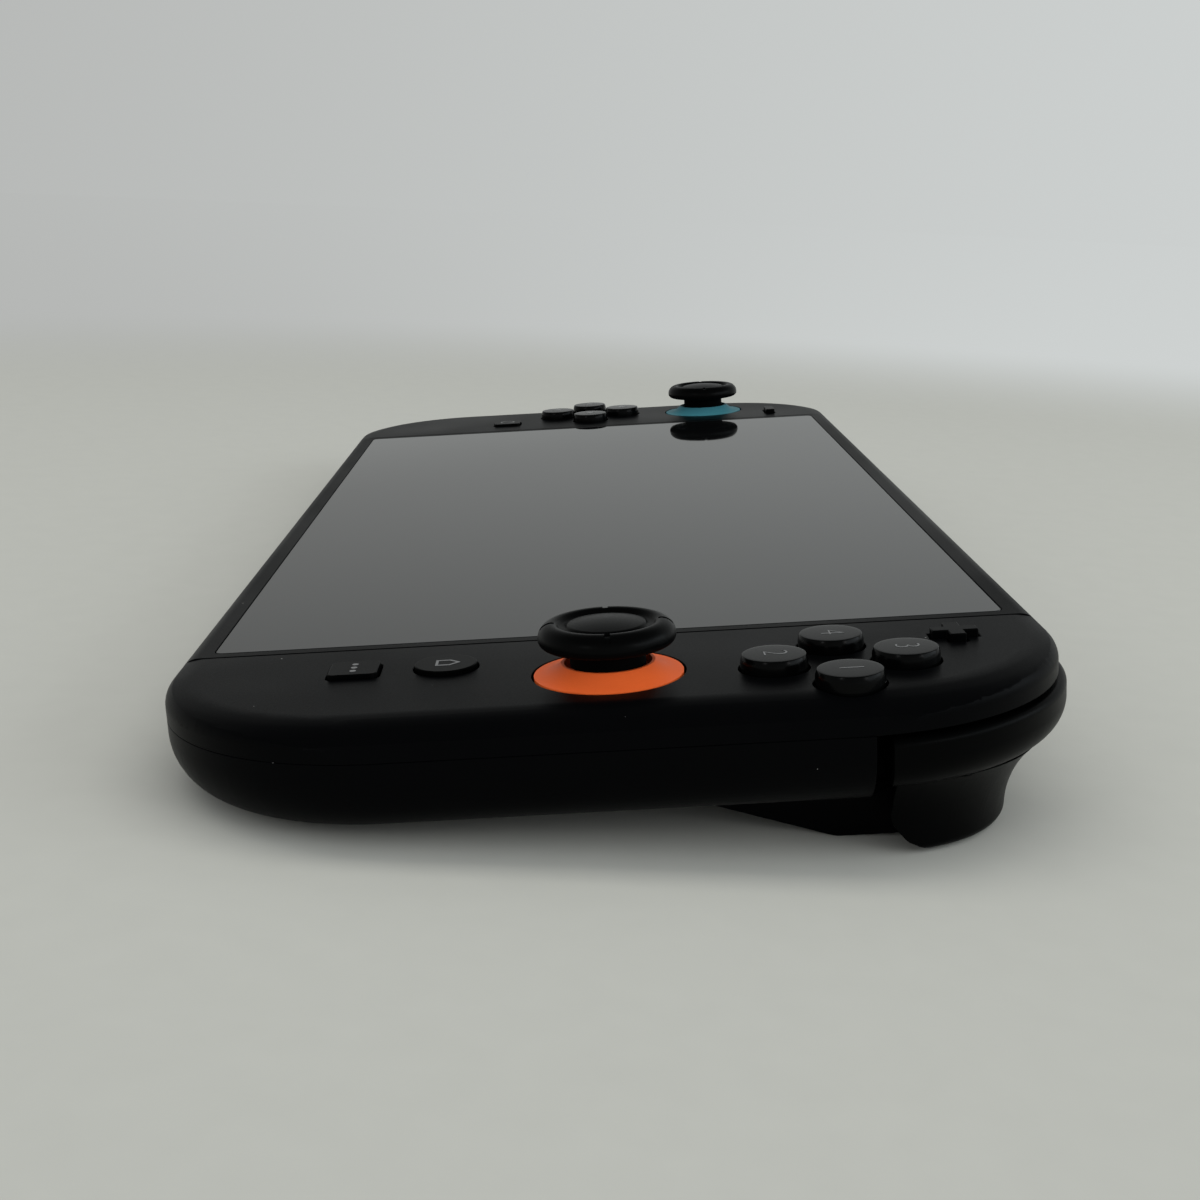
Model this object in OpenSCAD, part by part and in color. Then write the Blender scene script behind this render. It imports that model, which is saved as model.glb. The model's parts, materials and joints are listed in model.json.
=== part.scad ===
// Handheld game console: a tablet with a controller that pulls off at each end.
// Body axes: X along the length, Y to the upper edge, Z from the back plane out of the screen.
// All lengths are in millimetres. The finished part lies screen up on a flat surface.

/* [Body] */
// Length over both controllers
console_l = 272; // [269:1:276]
// Height from the lower edge to the upper edge
console_w = 116; // [115:1:119]
// Thickness of the slab without its controls
console_t = 13.9; // [13.7:0.1:14.6]
// Length of the tablet between its controllers
tablet_l = 200; // [198:1:203]
// Radius of the corners in plan
corner_r = 30; // [29:0.5:31]
// Radius of the rear edge
rear_r = 8; // [7.5:0.1:8.2]
// Radius of the front edge
front_r = 2.5; // [2.2:0.1:2.7]
// Wall of the shells
wall = 1.6; // [1.4:0.1:1.8]
// Gap between the tablet and a controller
seam_gap = 0.3; // [0.2:0.05:0.5]

/* [Clearances] */
// Gap round a button in its hole
button_gap = 0.3; // [0.2:0.05:0.4]
// Radial clearance of a pin in its bore
pin_gap = 0.05; // [0.03:0.01:0.08]
// Gap round a piece that sits in a pocket
pocket_gap = 0.15; // [0.1:0.05:0.25]

/* [Display] */
// Rim of the frame at the glass's short sides
glass_side = 2; // [1.5:0.5:4]
// Rim of the frame at the glass's long sides
glass_edge = 4.4; // [3:0.1:5.5]
// Thickness of the cover glass
glass_t = 1; // [0.8:0.1:1.2]
// Corner radius of the cover glass
glass_r = 1.2; // [0.5:0.1:3]
// Margin between panel and glass at the short sides
panel_side = 6; // [5.5:0.5:9]
// Margin between panel and glass at the long sides
panel_edge = 2.6; // [2.1:0.1:4.6]
// Thickness of the display panel
panel_t = 2; // [1.6:0.1:2.2]
// Thickness of the frame's mid-plate
plate_t = 1; // [0.8:0.1:1.2]

/* [Tablet casing] */
// Height of the joint between front frame and rear cover
split_z = 4.6; // [4.4:0.1:4.7]
// Wall behind the side channel
channel_wall = 1.5; // [1.2:0.1:1.8]
// Depth of the side channel
channel_d = 4.8; // [4.6:0.1:5.2]
// Distance of the side channel's ends from the long edges
channel_end = 10.7; // [9.5:0.1:13]
// Height of the side channel
channel_h = 9; // [8.6:0.1:9.2]
// Height of the channel's middle above the back plane
channel_z = 7; // [6.9:0.1:7.2]
// Corner radius of the side channel
channel_r = 2; // [1:0.1:3]
// Distance of the case screws from the middle, along the length
screw_x = 89.8; // [89.4:0.1:90]
// Distance of the case screws from the middle, across
screw_y = 30; // [20:1:40]
// Shank radius of a case screw
screw_r = 0.9; // [0.7:0.1:1]
// Head radius of a case screw
screw_head_r = 1.8; // [1.6:0.1:2]
// Head height of a case screw
screw_head_h = 1; // [0.8:0.1:1.2]
// Length of a case screw under its head
screw_l = 5.5; // [4.5:0.1:6.5]
// Radius of the screw bosses
boss_r = 2.6; // [2.4:0.1:2.8]

/* [Stand] */
// Width over the stand's arms
stand_l = 168; // [150:1:168]
// Width of the stand's bar and arms
stand_bar = 8; // [6:0.5:9]
// Thickness of the stand
stand_t = 2.2; // [2:0.1:2.4]
// Distance of the stand's lower edge from the middle
stand_low = 49; // [44:1:50]
// Distance of the stand's hinge below the middle
stand_hinge_y = 4; // [2:0.5:8]
// Depth of the stand below the back plane
stand_sink = 0.2; // [0.1:0.05:0.3]
// Corner radius of the stand
stand_r = 6; // [4:0.5:8]
// Gap round the stand in its recess
stand_gap = 0.35; // [0.3:0.05:0.5]
// Room past the hinge for the opened arms
stand_room = 5.2; // [5:0.1:6]
// Radius of the stand's pins
stand_pin_r = 0.8; // [0.6:0.1:0.9]
// Length of the stand's pins
stand_pin_l = 2; // [1.5:0.1:2.4]
// Wall round the stand's recess
tub_wall = 1.2; // [1:0.1:1.3]

/* [Edge controls and sockets] */
// Height of the upper edge's controls above the back plane
edge_z = 7; // [6.9:0.1:7.2]
// Place of the power button along the upper edge
power_x = -84; // [-86:1:-82]
// Length of the power button
power_l = 9; // [7:0.5:10]
// Height of the edge buttons
edge_button_h = 2.6; // [2.2:0.1:2.8]
// How far the edge buttons stand proud
edge_proud = 0.4; // [0.2:0.1:0.6]
// How far an edge button's flange sits behind the wall's flat stretch
flange_back = 0.5; // [0.45:0.05:0.7]
// Thickness of an edge button's flange
edge_flange_t = 1.1; // [0.9:0.1:1.3]
// Place of the volume rocker along the upper edge
volume_x = -62; // [-66:1:-58]
// Length of the volume rocker
volume_l = 22; // [18:1:26]
// Radius of the rocker's pin
rocker_pin_r = 0.8; // [0.6:0.1:0.9]
// Depth of the rocker's pin behind the upper edge
rocker_pin_d = 3.6; // [3.4:0.1:4]
// Place of the card flap along the upper edge
card_x = 62; // [58:1:64]
// Length of the card flap
card_l = 26; // [24:1:28]
// Radius of the card flap's pin
card_pin_r = 0.45; // [0.4:0.05:0.5]
// Height of the card flap's pin above the back plane
card_pin_z = 5.6; // [5.5:0.1:5.8]
// Thickness of the card flap
card_door_t = 1.3; // [1.1:0.1:1.4]
// Height of the card flap above its pin
card_door_h = 3; // [2.9:0.1:3.1]
// Depth of the card flap's pin behind the upper edge
card_pin_d = 1.5; // [1.4:0.1:1.6]
// Depth of the card reader
reader_d = 20.8; // [19:0.1:21]
// Height of the card reader
reader_h = 3.2; // [3:0.1:3.3]
// Distance of the card reader from the upper edge
reader_in = 3.2; // [3.1:0.1:3.5]
// Length of the upper socket's and lower socket's shell
usb_d = 7.5; // [6.5:0.5:8]
// Width of a data socket inside
usb_w = 8.4; // [8.2:0.1:8.6]
// Height of a data socket inside
usb_h = 2.6; // [2.5:0.1:2.7]
// Wall of a data socket
usb_wall = 0.5; // [0.4:0.1:0.6]
// Radius of the headphone socket
jack_r = 1.8; // [1.7:0.05:1.9]
// Length of the headphone socket
jack_d = 14; // [13:0.5:15]
// Place of the headphone socket along the upper edge
jack_x = 84; // [83:0.5:85]
// Size of the headphone socket's body
jack_size = 5; // [4.8:0.1:5.2]
// Width of an air slot
vent_w = 1.6; // [1:0.1:2]
// Spacing of the air slots
vent_pitch = 3.4; // [3:0.1:4]
// Height of an air slot
vent_h = 3.4; // [2.6:0.1:3.6]
// Number of air slots on each side of the upper socket
vent_n = 9; // [4:1:10]

/* [Inside the tablet] */
// Length of the main board
board_l = 90; // [84:1:90]
// Width of the main board
board_w = 42; // [38:1:42]
// Thickness of the boards
board_t = 1; // [0.8:0.1:1.1]
// Height of the main board's chips
chip_t = 1.2; // [0.8:0.1:1.4]
// Pitch of the grid that the chips are laid on
chip_pitch = 2; // [1.8:0.1:2]
// Height of the main board above the back plane
board_z = 5; // [4.8:0.1:5.2]
// Thickness of the heat spreader
spreader_t = 0.8; // [0.5:0.1:1]
// Where the heat spreader starts on the board
spreader_start = 24; // [22:1:26]
// Margin of the heat spreader at its end
spreader_end = 2; // [1:0.5:3]
// Margin of the heat spreader at its sides
spreader_side = 5; // [4:0.5:6]
// Place of the fan along the length
fan_x = 27; // [26:0.5:28]
// Distance of the fan's middle from the upper edge
fan_y = 29; // [28:0.5:30]
// Radius of the fan housing
fan_r = 18.5; // [17:0.5:19]
// Height of the fan housing
fan_h = 6.6; // [6:0.1:7]
// Wall of the fan housing
fan_wall = 1.1; // [0.9:0.1:1.3]
// Gap between the fan's mouth and the rear cover's rounding
fan_back = 0.5; // [0.3:0.1:1]
// Number of fan blades
blade_n = 13; // [7:1:17]
// Radius of the fan's hub
hub_r = 7; // [6:0.5:8]
// Radius of the fan's axle
axle_r = 1.2; // [1:0.1:1.5]
// Length of the battery
battery_l = 80; // [70:1:82]
// Width of the battery
battery_w = 38; // [34:1:39]
// Thickness of the battery
battery_t = 5.6; // [5:0.1:6]
// Gap between the battery and the left speaker
battery_gap = 0.4; // [0.3:0.1:2]
// Length of a speaker
speaker_l = 24; // [20:1:25]
// Width of a speaker
speaker_w = 11; // [9:0.5:12]
// Thickness of a speaker
speaker_t = 3.8; // [3:0.1:4.2]
// Gap between a speaker and the channel's wall
speaker_gap = 1.5; // [1:0.1:2]

/* [Controller shells] */
// Height of the front shell's edge band
band_h = 4.1; // [3.9:0.1:4.2]
// Wall of the front face
face_wall = 1.8; // [1.6:0.1:1.9]
// Rim of the front shell inside its outline
front_rim = 3; // [2.8:0.1:3.3]
// Width of the rounded stretch at the end of the front face
roll_w = 6.2; // [5.5:0.1:6.5]
// Drop of the front face at the shoulder
roll_drop = 2; // [1.6:0.1:2.1]
// Distance of the shoulder inside the outline
shoulder_in = 0.8; // [0.6:0.1:1]
// How far the shoulder runs outside the outline along the long edges
roll_fade = 3; // [2.5:0.1:4]
// Clearance round the rail in its channel
rail_clear = 0.3; // [0.25:0.05:0.5]
// Reach of the rail past the seam
rail_reach = 4.1; // [3.8:0.1:4.2]
// Thickness of the plate that carries the rail
rail_plate_t = 1.7; // [1.5:0.1:1.9]
// Distance of the rail buttons from the middle
rail_button_y = 28; // [22:1:32]
// Length of a rail button
rail_button_l = 15.4; // [12:0.2:17]
// Width of a rail button
rail_button_w = 4; // [3.4:0.1:4.4]
// How far a rail button stands proud
rail_button_proud = 0.3; // [0.2:0.05:0.4]
// Width of the contact tab
tab_w = 9; // [8:0.2:10]
// Thickness of the contact tab
tab_t = 1; // [0.8:0.1:1.2]
// Length of the contact tab in the channel
tab_l = 2.4; // [2:0.1:2.8]
// Height of the controller's board above the back plane
pcb_z = 8.2; // [8.1:0.1:8.3]
// Length of the controller's battery cell
cell_l = 30; // [26:1:30]
// Width of the controller's battery cell
cell_w = 17; // [14:0.5:17]
// Thickness of the controller's battery cell
cell_t = 4.4; // [4:0.1:5]
// Gap between the cell and the right stick's base
cell_gap = 0.5; // [0.4:0.1:1]

/* [Face controls] */
// Distance of the sticks from the seam
stick_x = 17.2; // [17:0.1:17.6]
// Height of the right stick's place
right_stick_y = -0.4; // [-1.4:0.1:0.6]
// Place of the left stick above the corner's centre
left_stick_y = 0.6; // [0:0.1:0.8]
// Distance of the button groups from the seam
group_x = 19.3; // [18.9:0.1:19.6]
// Place of the right button group above the corner's centre
right_group_y = 0.3; // [-0.2:0.1:0.8]
// Height of the left button group
left_group_y = -0.3; // [-1:0.1:0.5]
// Distance of a group's buttons from its middle
group_r = 8.2; // [8:0.1:8.4]
// Diameter of a group's button
round_d = 8.4; // [7.9:0.1:8.5]
// How far a group's button stands proud
round_proud = 1.8; // [1.6:0.1:2.2]
// Crown radius of a group's button
round_crown = 1; // [0.6:0.1:1.3]
// Width of a button's flange past its side
flange_w = 0.7; // [0.6:0.05:0.75]
// Thickness of a button's flange
flange_t = 0.8; // [0.6:0.1:0.9]
// Travel of a face button
button_travel = 0.8; // [0.6:0.05:0.9]
// Distance of the upper small button from the seam
sign_x = 9; // [8.6:0.1:9.4]
// Distance of the plus and minus buttons from the upper edge
sign_y = 13.4; // [13:0.1:14]
// Length of the plus and minus bars
sign_l = 6; // [5.4:0.1:6.4]
// Width of the plus and minus bars
sign_w = 2.1; // [1.8:0.1:2.4]
// How far the plus and minus stand proud
sign_proud = 1; // [0.6:0.1:1.2]
// Distance of the lower small buttons from the seam
lower_x = 11; // [10.6:0.1:11.4]
// Distance of the home and capture buttons from the lower edge
home_y = 36.8; // [36.2:0.1:37.2]
// Diameter of the home button
home_d = 8; // [7.4:0.1:8.2]
// Distance of the chat button from the lower edge
chat_y = 25; // [24:0.1:25.4]
// Side of the square buttons
square_w = 6.3; // [5.8:0.1:6.6]
// Corner radius of the square buttons
square_r = 0.8; // [0.5:0.1:1.2]
// How far the home button and the square buttons stand proud
small_proud = 0.6; // [0.4:0.1:0.9]

/* [Stick] */
// Depth of the stick's pivot below the face
pivot_d = 3.6; // [3.4:0.1:3.7]
// Radius of the coloured skirt
skirt_r = 9.4; // [9.25:0.05:9.5]
// Rise of the skirt to its lip
skirt_rise = 1.5; // [1.4:0.1:1.8]
// Outer radius of the skirt's lip
lip_r = 5.9; // [5.8:0.05:6.1]
// Thickness of the skirt's edge
skirt_t = 0.5; // [0.4:0.05:0.55]
// Gap round the skirt
skirt_gap = 0.3; // [0.3:0.05:0.5]
// How much the stick's hole widens below the face
skirt_undercut = 0.6; // [0.5:0.05:0.8]
// Gap between neck and lip
neck_gap = 0.8; // [0.6:0.05:0.85]
// Radius of the neck
neck_r = 4.75; // [4.5:0.05:4.8]
// Radius of the cap
cap_r = 8.65; // [8.4:0.05:8.8]
// Height of the cap's underside above the face
cap_low = 3.7; // [3.5:0.1:3.9]
// Height of the cap's rim above the face
cap_high = 6.7; // [6.5:0.1:6.9]
// Height of the cap's domed middle above the face
cap_top = 6.85; // [6.7:0.05:7.1]
// Radius of the cap's dish
dish_r = 6.2; // [6:0.1:6.4]
// Depth of the cap's dish
dish_d = 1; // [0.8:0.1:1.1]
// Radius of the cap's domed middle
dome_r = 5; // [4.6:0.1:5.4]
// Rise of the domed middle above its own edge
dome_rise = 0.5; // [0.3:0.1:0.7]
// Rounding of the cap's rim below
cap_low_r = 1; // [0.8:0.1:1]
// Rounding of the cap's rim above
cap_high_r = 1.9; // [1.7:0.1:1.9]
// Travel of the stick's click
click_travel = 0.5; // [0.4:0.05:0.6]
// Radius of the lever's shaft
shaft_r = 1.9; // [1.7:0.05:2]
// Radius of the lever's hub
lever_r = 2.2; // [2.1:0.05:2.3]
// Radius of the gimbal's pins
gimbal_pin_r = 0.8; // [0.7:0.05:0.85]
// Inner radius of the gimbal ring
ring_in_r = 2.9; // [2.85:0.05:3]
// Outer radius of the gimbal ring
ring_out_r = 4.6; // [4.5:0.05:4.7]
// Height of the gimbal ring
ring_h = 2.2; // [2:0.1:2.3]
// Radius of the stick's base
stick_base_r = 7; // [6.6:0.1:7.1]

/* [Bumper and trigger] */
// How far the bumper stands proud of the upper edge
bumper_proud = 1.4; // [1.2:0.1:1.5]
// Height of the bumper
bumper_h = 7.1; // [6.9:0.1:7.2]
// Height that the bumper loses towards the slot
bumper_taper = 1.1; // [0.8:0.1:1.2]
// Gap above the bumper
bumper_gap = 0.8; // [0.6:0.1:0.9]
// Lower radius of the bumper
bumper_low_r = 4.5; // [4:0.1:5]
// Upper radius of the bumper
bumper_top_r = 1; // [0.6:0.1:1.4]
// Depth of the bumper
bumper_d = 7; // [6:0.1:7.2]
// Start of the bumper past the seam
bumper_start = 2; // [1.9:0.1:2.4]
// Radius of the bumper's pin
bumper_pin_r = 1.1; // [0.9:0.1:1.2]
// Width of the slot at the bumper's outer end
slot_w = 2; // [1.8:0.1:2.2]
// Distance of the slot past the start of the corner
slot_past = 2; // [1.6:0.1:2.4]
// Gap between bumper and trigger
trigger_gap = 0.3; // [0.25:0.05:0.35]
// Depth of the trigger below the corner's centre, square to the resting surface
trigger_d = 7.2; // [7:0.1:7.3]
// Inset of the trigger's top from the outline
trigger_top_in = 2; // [1.8:0.1:2.2]
// Inset of the trigger's waist from the outline
trigger_waist_in = 6.1; // [5.8:0.1:6.3]
// Depth of the trigger's waist below the back plane
trigger_waist_d = 5.4; // [5:0.1:5.8]
// Radius of the trigger's tip
trigger_tip_r = 1.2; // [0.8:0.1:1.4]
// Distance of the trigger's inner side from the corner's centre
chord = 20; // [19.8:0.1:20.2]
// Gap behind the trigger
chord_gap = 1.8; // [1.6:0.1:2]
// Radius of the trigger's pin
trigger_pin_r = 0.9; // [0.8:0.05:0.95]
// Height of the trigger's pin above the back plane
trigger_pin_z = 0.4; // [0.35:0.05:0.45]
// Thickness of the ears that hold the trigger's pin
ear_t = 2.2; // [2:0.1:2.4]
// Height of those ears
ear_h = 2.7; // [2.6:0.05:2.75]
// Distance of those ears from the middle of the corner
ear_y = 5; // [4.5:0.5:5.5]
// Reach of each ear past the trigger's pin
ear_reach = 1.5; // [1.45:0.05:1.55]
// Depth of the hump behind the trigger
hump_d = 7.6; // [7:0.1:7.7]
// Edge radius of the hump
hump_r = 4; // [3:0.5:5]
// Start of the hump's ramp above the middle
hump_start = 4; // [0:1:8]
// Place of the hump's ridge above the middle
hump_ridge = 27.5; // [26:0.5:28]
// Reach of the hump from the corner's centre
hump_reach = 16.5; // [15.5:0.5:17]
// Length of the release button
release_l = 10; // [8:0.5:11]
// Width of the release button
release_w = 5; // [4:0.1:6]
// Thickness of the release button
release_t = 3.4; // [3:0.1:3.8]
// Sink of the release button in the hump
release_sink = 0.3; // [0.2:0.05:0.4]
// Travel of the release button
release_travel = 1; // [0.8:0.1:1.2]

/* [Hidden] */
$fn = 48;
cut = 0.5;
big = 90;
plain = "#2b2c2e";
dark = "#1b1c1e";
orange = "#cf5f2c";
blue = "#4f93ab";

// Plan of the corners and the seam
cx = console_l / 2 - corner_r;
cy = console_w / 2 - corner_r;
seam_x = tablet_l / 2 + seam_gap;
end_x = console_l / 2;
edge_y = console_w / 2;

// Levels of the display and the tablet's inside
glass_z = console_t - glass_t;
panel_z = glass_z - panel_t;
glass_l = tablet_l - 2 * glass_side;
glass_w = console_w - 2 * glass_edge;
panel_l = glass_l - 2 * panel_side;
panel_w = glass_w - 2 * panel_edge;
plate_z = panel_z - plate_t;
channel_x = tablet_l / 2 - channel_d;
inside_x = channel_x - channel_wall;
channel_l = console_w - 2 * channel_end;
rail_l = channel_l - 2 * rail_clear;
rail_h = channel_h - 2 * rail_clear;
floor_z = wall;
inside_r = rear_r - wall;

// Speakers and fan
speaker_x = inside_x - speaker_gap - speaker_l;
fan_place = [fan_x, edge_y - fan_y, floor_z];
fan_mouth = edge_y - rear_r - fan_back;

// Stand
stand_z = stand_sink + stand_t / 2;
recess_z = stand_sink + stand_t + stand_gap;
tub_z = recess_z + tub_wall;

// Controller levels
shell_z = console_t - band_h;
under_z = console_t - face_wall;
rail_x = seam_x - rail_reach;
pcb_top = pcb_z + board_t;
stem_z = pcb_top + button_travel + pocket_gap;
button_room_z = under_z - flange_t - button_travel - button_gap;

// Places of the face controls
right_stick = [tablet_l / 2 + stick_x, right_stick_y];
left_stick = [tablet_l / 2 + stick_x, cy + left_stick_y];
right_group = [tablet_l / 2 + group_x, cy + right_group_y];
left_group = [tablet_l / 2 + group_x, left_group_y];
sign_place = [tablet_l / 2 + sign_x, edge_y - sign_y];
home_place = [tablet_l / 2 + lower_x, home_y - edge_y];
chat_place = [tablet_l / 2 + lower_x, chat_y - edge_y];

// Stick levels
pivot_z = console_t - pivot_d;
skirt_hole_r = skirt_r + skirt_gap;
web_z = console_t - skirt_t;
web_t = 0.9;
shaft_top = cap_high - 2;
stick_base_top = pivot_z - 2.8;
ear_in = ring_out_r + button_gap;
gimbal_ear_t = 1.2;

// Bumper, trigger and the well they sit in
bumper_z1 = shell_z - bumper_gap;
bumper_z0 = bumper_z1 - bumper_h;
bumper_cx = cx - bumper_proud;
bumper_reach = corner_r + bumper_proud;
bumper_in = bumper_reach - bumper_d;
bumper_x = seam_x + bumper_start;
bumper_pin = [bumper_x + 1.6, cy + bumper_in + 2.4];
slot_y = cy + slot_past;
ring_wall = 1.5;
well_ring = bumper_in - 3;
well_floor = bumper_z0 - 0.4;
well_top = pcb_z - 0.2;
trigger_z1 = bumper_z0 - trigger_gap;
taper_end = corner_r * sin(45) - slot_past;
taper_start = -6;
taper_angle = atan(bumper_taper / (taper_end - taper_start));
trigger_top_r = corner_r - trigger_top_in;
trigger_waist_r = corner_r - trigger_waist_in;
waist_w = trigger_waist_in - trigger_top_in;
chord_face = chord - chord_gap;
trigger_axis = chord + trigger_pin_r;
ear_room = 0.35;
ear_swing = 0.5;
trigger_clip_x = cx + 1.5;
release_place = [seam_x + 7.7, cy + 10];

// Rest pose: the slab leans on its lower rear edge and on the two humps
foot_y = edge_y - rear_r;
lean_y = foot_y + hump_ridge;
lean_z = rear_r + hump_d - hump_r;
lean_r = sqrt(lean_y * lean_y + lean_z * lean_z);
rest_tilt = atan2(lean_z, lean_y) - asin((rear_r - hump_r) / lean_r);
rest_lift = rear_r + foot_y * sin(rest_tilt) - rear_r * cos(rest_tilt);
upper_y = (edge_y + bumper_proud - bumper_low_r) * cos(rest_tilt)
    - (bumper_z0 + bumper_low_r) * sin(rest_tilt) + bumper_low_r;
lower_y = (edge_y - front_r) * cos(rest_tilt) + (console_t - front_r) * sin(rest_tilt) + front_r;
rest_shift = (lower_y - upper_y) / 2;
trigger_top = trigger_z1 + corner_r * sin(rest_tilt);
waist_h = trigger_top + trigger_waist_d;
waist_r = (waist_w * waist_w + waist_h * waist_h) / (2 * waist_w);

// Placing

// Lays the body on its resting surface, centred over the origin
module seated() {
    translate([0, rest_shift, rest_lift]) rotate([rest_tilt, 0, 0]) children();
}

// The same for a piece of the left controller, drawn as the right one's mirror image
module seated_left() {
    seated() mirror([1, 0, 0]) children();
}

module both_ends() {
    children();
    mirror([1, 0, 0]) children();
}

// Extrudes a section given in (y, z) from x0 to x1
module along_x(x0, x1) {
    translate([x0, 0, 0]) rotate([90, 0, 90]) linear_extrude(x1 - x0) children();
}

// Extrudes a section given in (x, z) from y0 to y1
module along_y(y0, y1) {
    translate([0, y1, 0]) rotate([90, 0, 0]) linear_extrude(y1 - y0) children();
}

// Extrudes a plan from z0 to z1
module along_z(z0, z1) {
    translate([0, 0, z0]) linear_extrude(z1 - z0) children();
}

function group_places(middle) =
    [for (a = [0 : 90 : 270]) middle + group_r * [cos(a), sin(a)]];

// Plane shapes

module round_rect(l, w, r) {
    square([l - 2 * r, w], center = true);
    square([l, w - 2 * r], center = true);
    for (sx = [-1, 1], sy = [-1, 1])
        translate([sx * (l / 2 - r), sy * (w / 2 - r)]) circle(r);
}

module stadium(l, w) {
    square([l - w, w], center = true);
    for (s = [-1, 1]) translate([s * (l - w) / 2, 0]) circle(w / 2);
}

// What the edge roundings take off, with the outer side at x = 0
module corner_cuts(low, high, r_low, r_high) {
    if (r_low > 0)
        translate([-r_low, low + r_low]) difference() {
            translate([0, -r_low - cut]) square(r_low + cut);
            circle(r_low);
        }
    if (r_high > 0)
        translate([-r_high, high - r_high]) difference() {
            square(r_high + cut);
            circle(r_high);
        }
}

// Half section of a slab, from its middle to its rounded edge
module edge_section(reach, low, high, r_low, r_high) {
    difference() {
        translate([0, low]) square([reach, high - low]);
        translate([reach, 0]) corner_cuts(low, high, r_low, r_high);
    }
}

// Whole section of the slab across its height
module slab_section(inset, low, high, r_low, r_high) {
    half = edge_y - inset;
    difference() {
        translate([-half, low]) square([2 * half, high - low]);
        for (s = [0, 1])
            mirror([s, 0]) translate([half, 0]) corner_cuts(low, high, r_low, r_high);
    }
}

// Outer forms

module tablet_slab() {
    along_x(-tablet_l / 2, tablet_l / 2) slab_section(0, 0, console_t, rear_r, front_r);
}

module tablet_inside() {
    along_x(-inside_x, inside_x) slab_section(wall, floor_z, plate_z, inside_r, 0);
}

module below_split() {
    translate([-big * 2, -big, -cut]) cube([big * 4, big * 2, split_z + cut]);
}

module side_channels() {
    both_ends() along_x(channel_x, tablet_l / 2 + cut)
        translate([0, channel_z]) round_rect(channel_l, channel_h, channel_r);
}

// Right controller's slab with its rounded end, from x0 outwards
module controller_slab(x0, inset, low, high, r_low, r_high) {
    reach = corner_r - inset;
    along_x(x0, cx) slab_section(inset, low, high, r_low, r_high);
    translate([cx, cy, 0]) rotate([90, 0, 0])
        linear_extrude(2 * cy) edge_section(reach, low, high, r_low, r_high);
    for (s = [0, 1])
        mirror([0, s, 0]) translate([cx, cy, 0])
            rotate_extrude(angle = 90) edge_section(reach, low, high, r_low, r_high);
}

// Half section of the front face: flat, then rounded down to a shoulder above the edge band
module roll_section() {
    shoulder = corner_r - shoulder_in;
    flat_end = shoulder - roll_w;
    roll_r = (roll_w * roll_w + roll_drop * roll_drop) / (2 * roll_drop);
    shoulder_z = console_t - roll_drop;
    polygon([
        [0, shell_z], [corner_r, shell_z], [shoulder, shoulder_z],
        [flat_end, shoulder_z], [flat_end, console_t], [0, console_t]
    ]);
    intersection() {
        translate([flat_end, console_t - roll_r]) circle(roll_r);
        translate([flat_end, shoulder_z]) square([roll_w, roll_drop]);
    }
}

// The front face's form; wider than the shell, so that the shoulder fades round the corners
module front_roll() {
    mid_y = cy + roll_fade;
    translate([0, -mid_y, shell_z]) cube([cx, 2 * mid_y, band_h]);
    translate([cx, mid_y, 0]) rotate([90, 0, 0]) linear_extrude(2 * mid_y) roll_section();
    for (s = [0, 1])
        mirror([0, s, 0]) {
            translate([cx, mid_y, 0]) rotate_extrude(angle = 90) roll_section();
            translate([0, mid_y, 0]) rotate([90, 0, 90]) linear_extrude(cx) roll_section();
        }
}

// All that lies past the trigger's chord, at distance d from the corner's centre
module past_chord(d) {
    translate([cx, cy, -big / 2]) rotate(45) translate([d, -big, 0]) cube([big, 2 * big, big]);
}

// All past the slot and past x, from z up
module past_slot(x, y, z) {
    translate([x, y, z]) cube([big, big, big]);
}

// Upright column that follows the corner at radius r
module corner_column(r) {
    translate([cx, cy, -big / 2]) cylinder(r = r, h = big);
    translate([0, 0, -big / 2]) cube([cx, cy + r, big]);
}

// Tablet

module display_glass() {
    color("#15171a") seated() along_z(glass_z, console_t) round_rect(glass_l, glass_w, glass_r);
}

module display_panel() {
    color("#3a3d42") seated() along_z(panel_z, glass_z) round_rect(panel_l, panel_w, glass_r);
}

module screw_places() {
    for (sx = [-1, 1], sy = [-1, 1]) translate([sx * screw_x, sy * screw_y, 0]) children();
}

// Openings that the frame's upper and lower walls leave for controls, sockets and air
module edge_openings() {
    top0 = edge_y - wall - 2 * cut;
    top1 = edge_y + cut;
    along_y(top0, top1) {
        translate([power_x, edge_z])
            stadium(power_l + 2 * button_gap, edge_button_h + 2 * button_gap);
        translate([volume_x, edge_z])
            stadium(volume_l + 2 * button_gap, edge_button_h + 2 * button_gap);
        translate([0, edge_z]) usb_plan(usb_wall + pocket_gap);
        translate([jack_x, edge_z]) circle(jack_size / 2 + pocket_gap);
        for (side = [-1, 1], i = [0 : vent_n - 1])
            translate([side * (usb_w + (i + 0.5) * vent_pitch), edge_z + 1])
                rotate(90) stadium(vent_h, vent_w);
    }
    along_y(-top1, -top0) {
        translate([0, edge_z]) usb_plan(usb_wall + pocket_gap);
        for (side = [-1, 1], i = [0 : vent_n - 3])
            translate([side * (inside_x - 6 - i * vent_pitch), edge_z + 1])
                rotate(90) stadium(vent_h, vent_w);
    }
    card_opening();
}

module usb_plan(grow) {
    stadium(usb_w + 2 * grow, usb_h + 2 * grow);
}

// Opening of the card slot, from the frame's lower edge up
module card_opening() {
    translate([card_x - card_l / 2 - button_gap, edge_y - wall - 2 * cut, split_z - cut])
        cube([card_l + 2 * button_gap, wall + 4 * cut, card_door_top() + button_gap - split_z + cut]);
}

function card_door_top() = card_pin_z + card_door_h;
function card_pin_y() = edge_y - card_pin_d;

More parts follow.
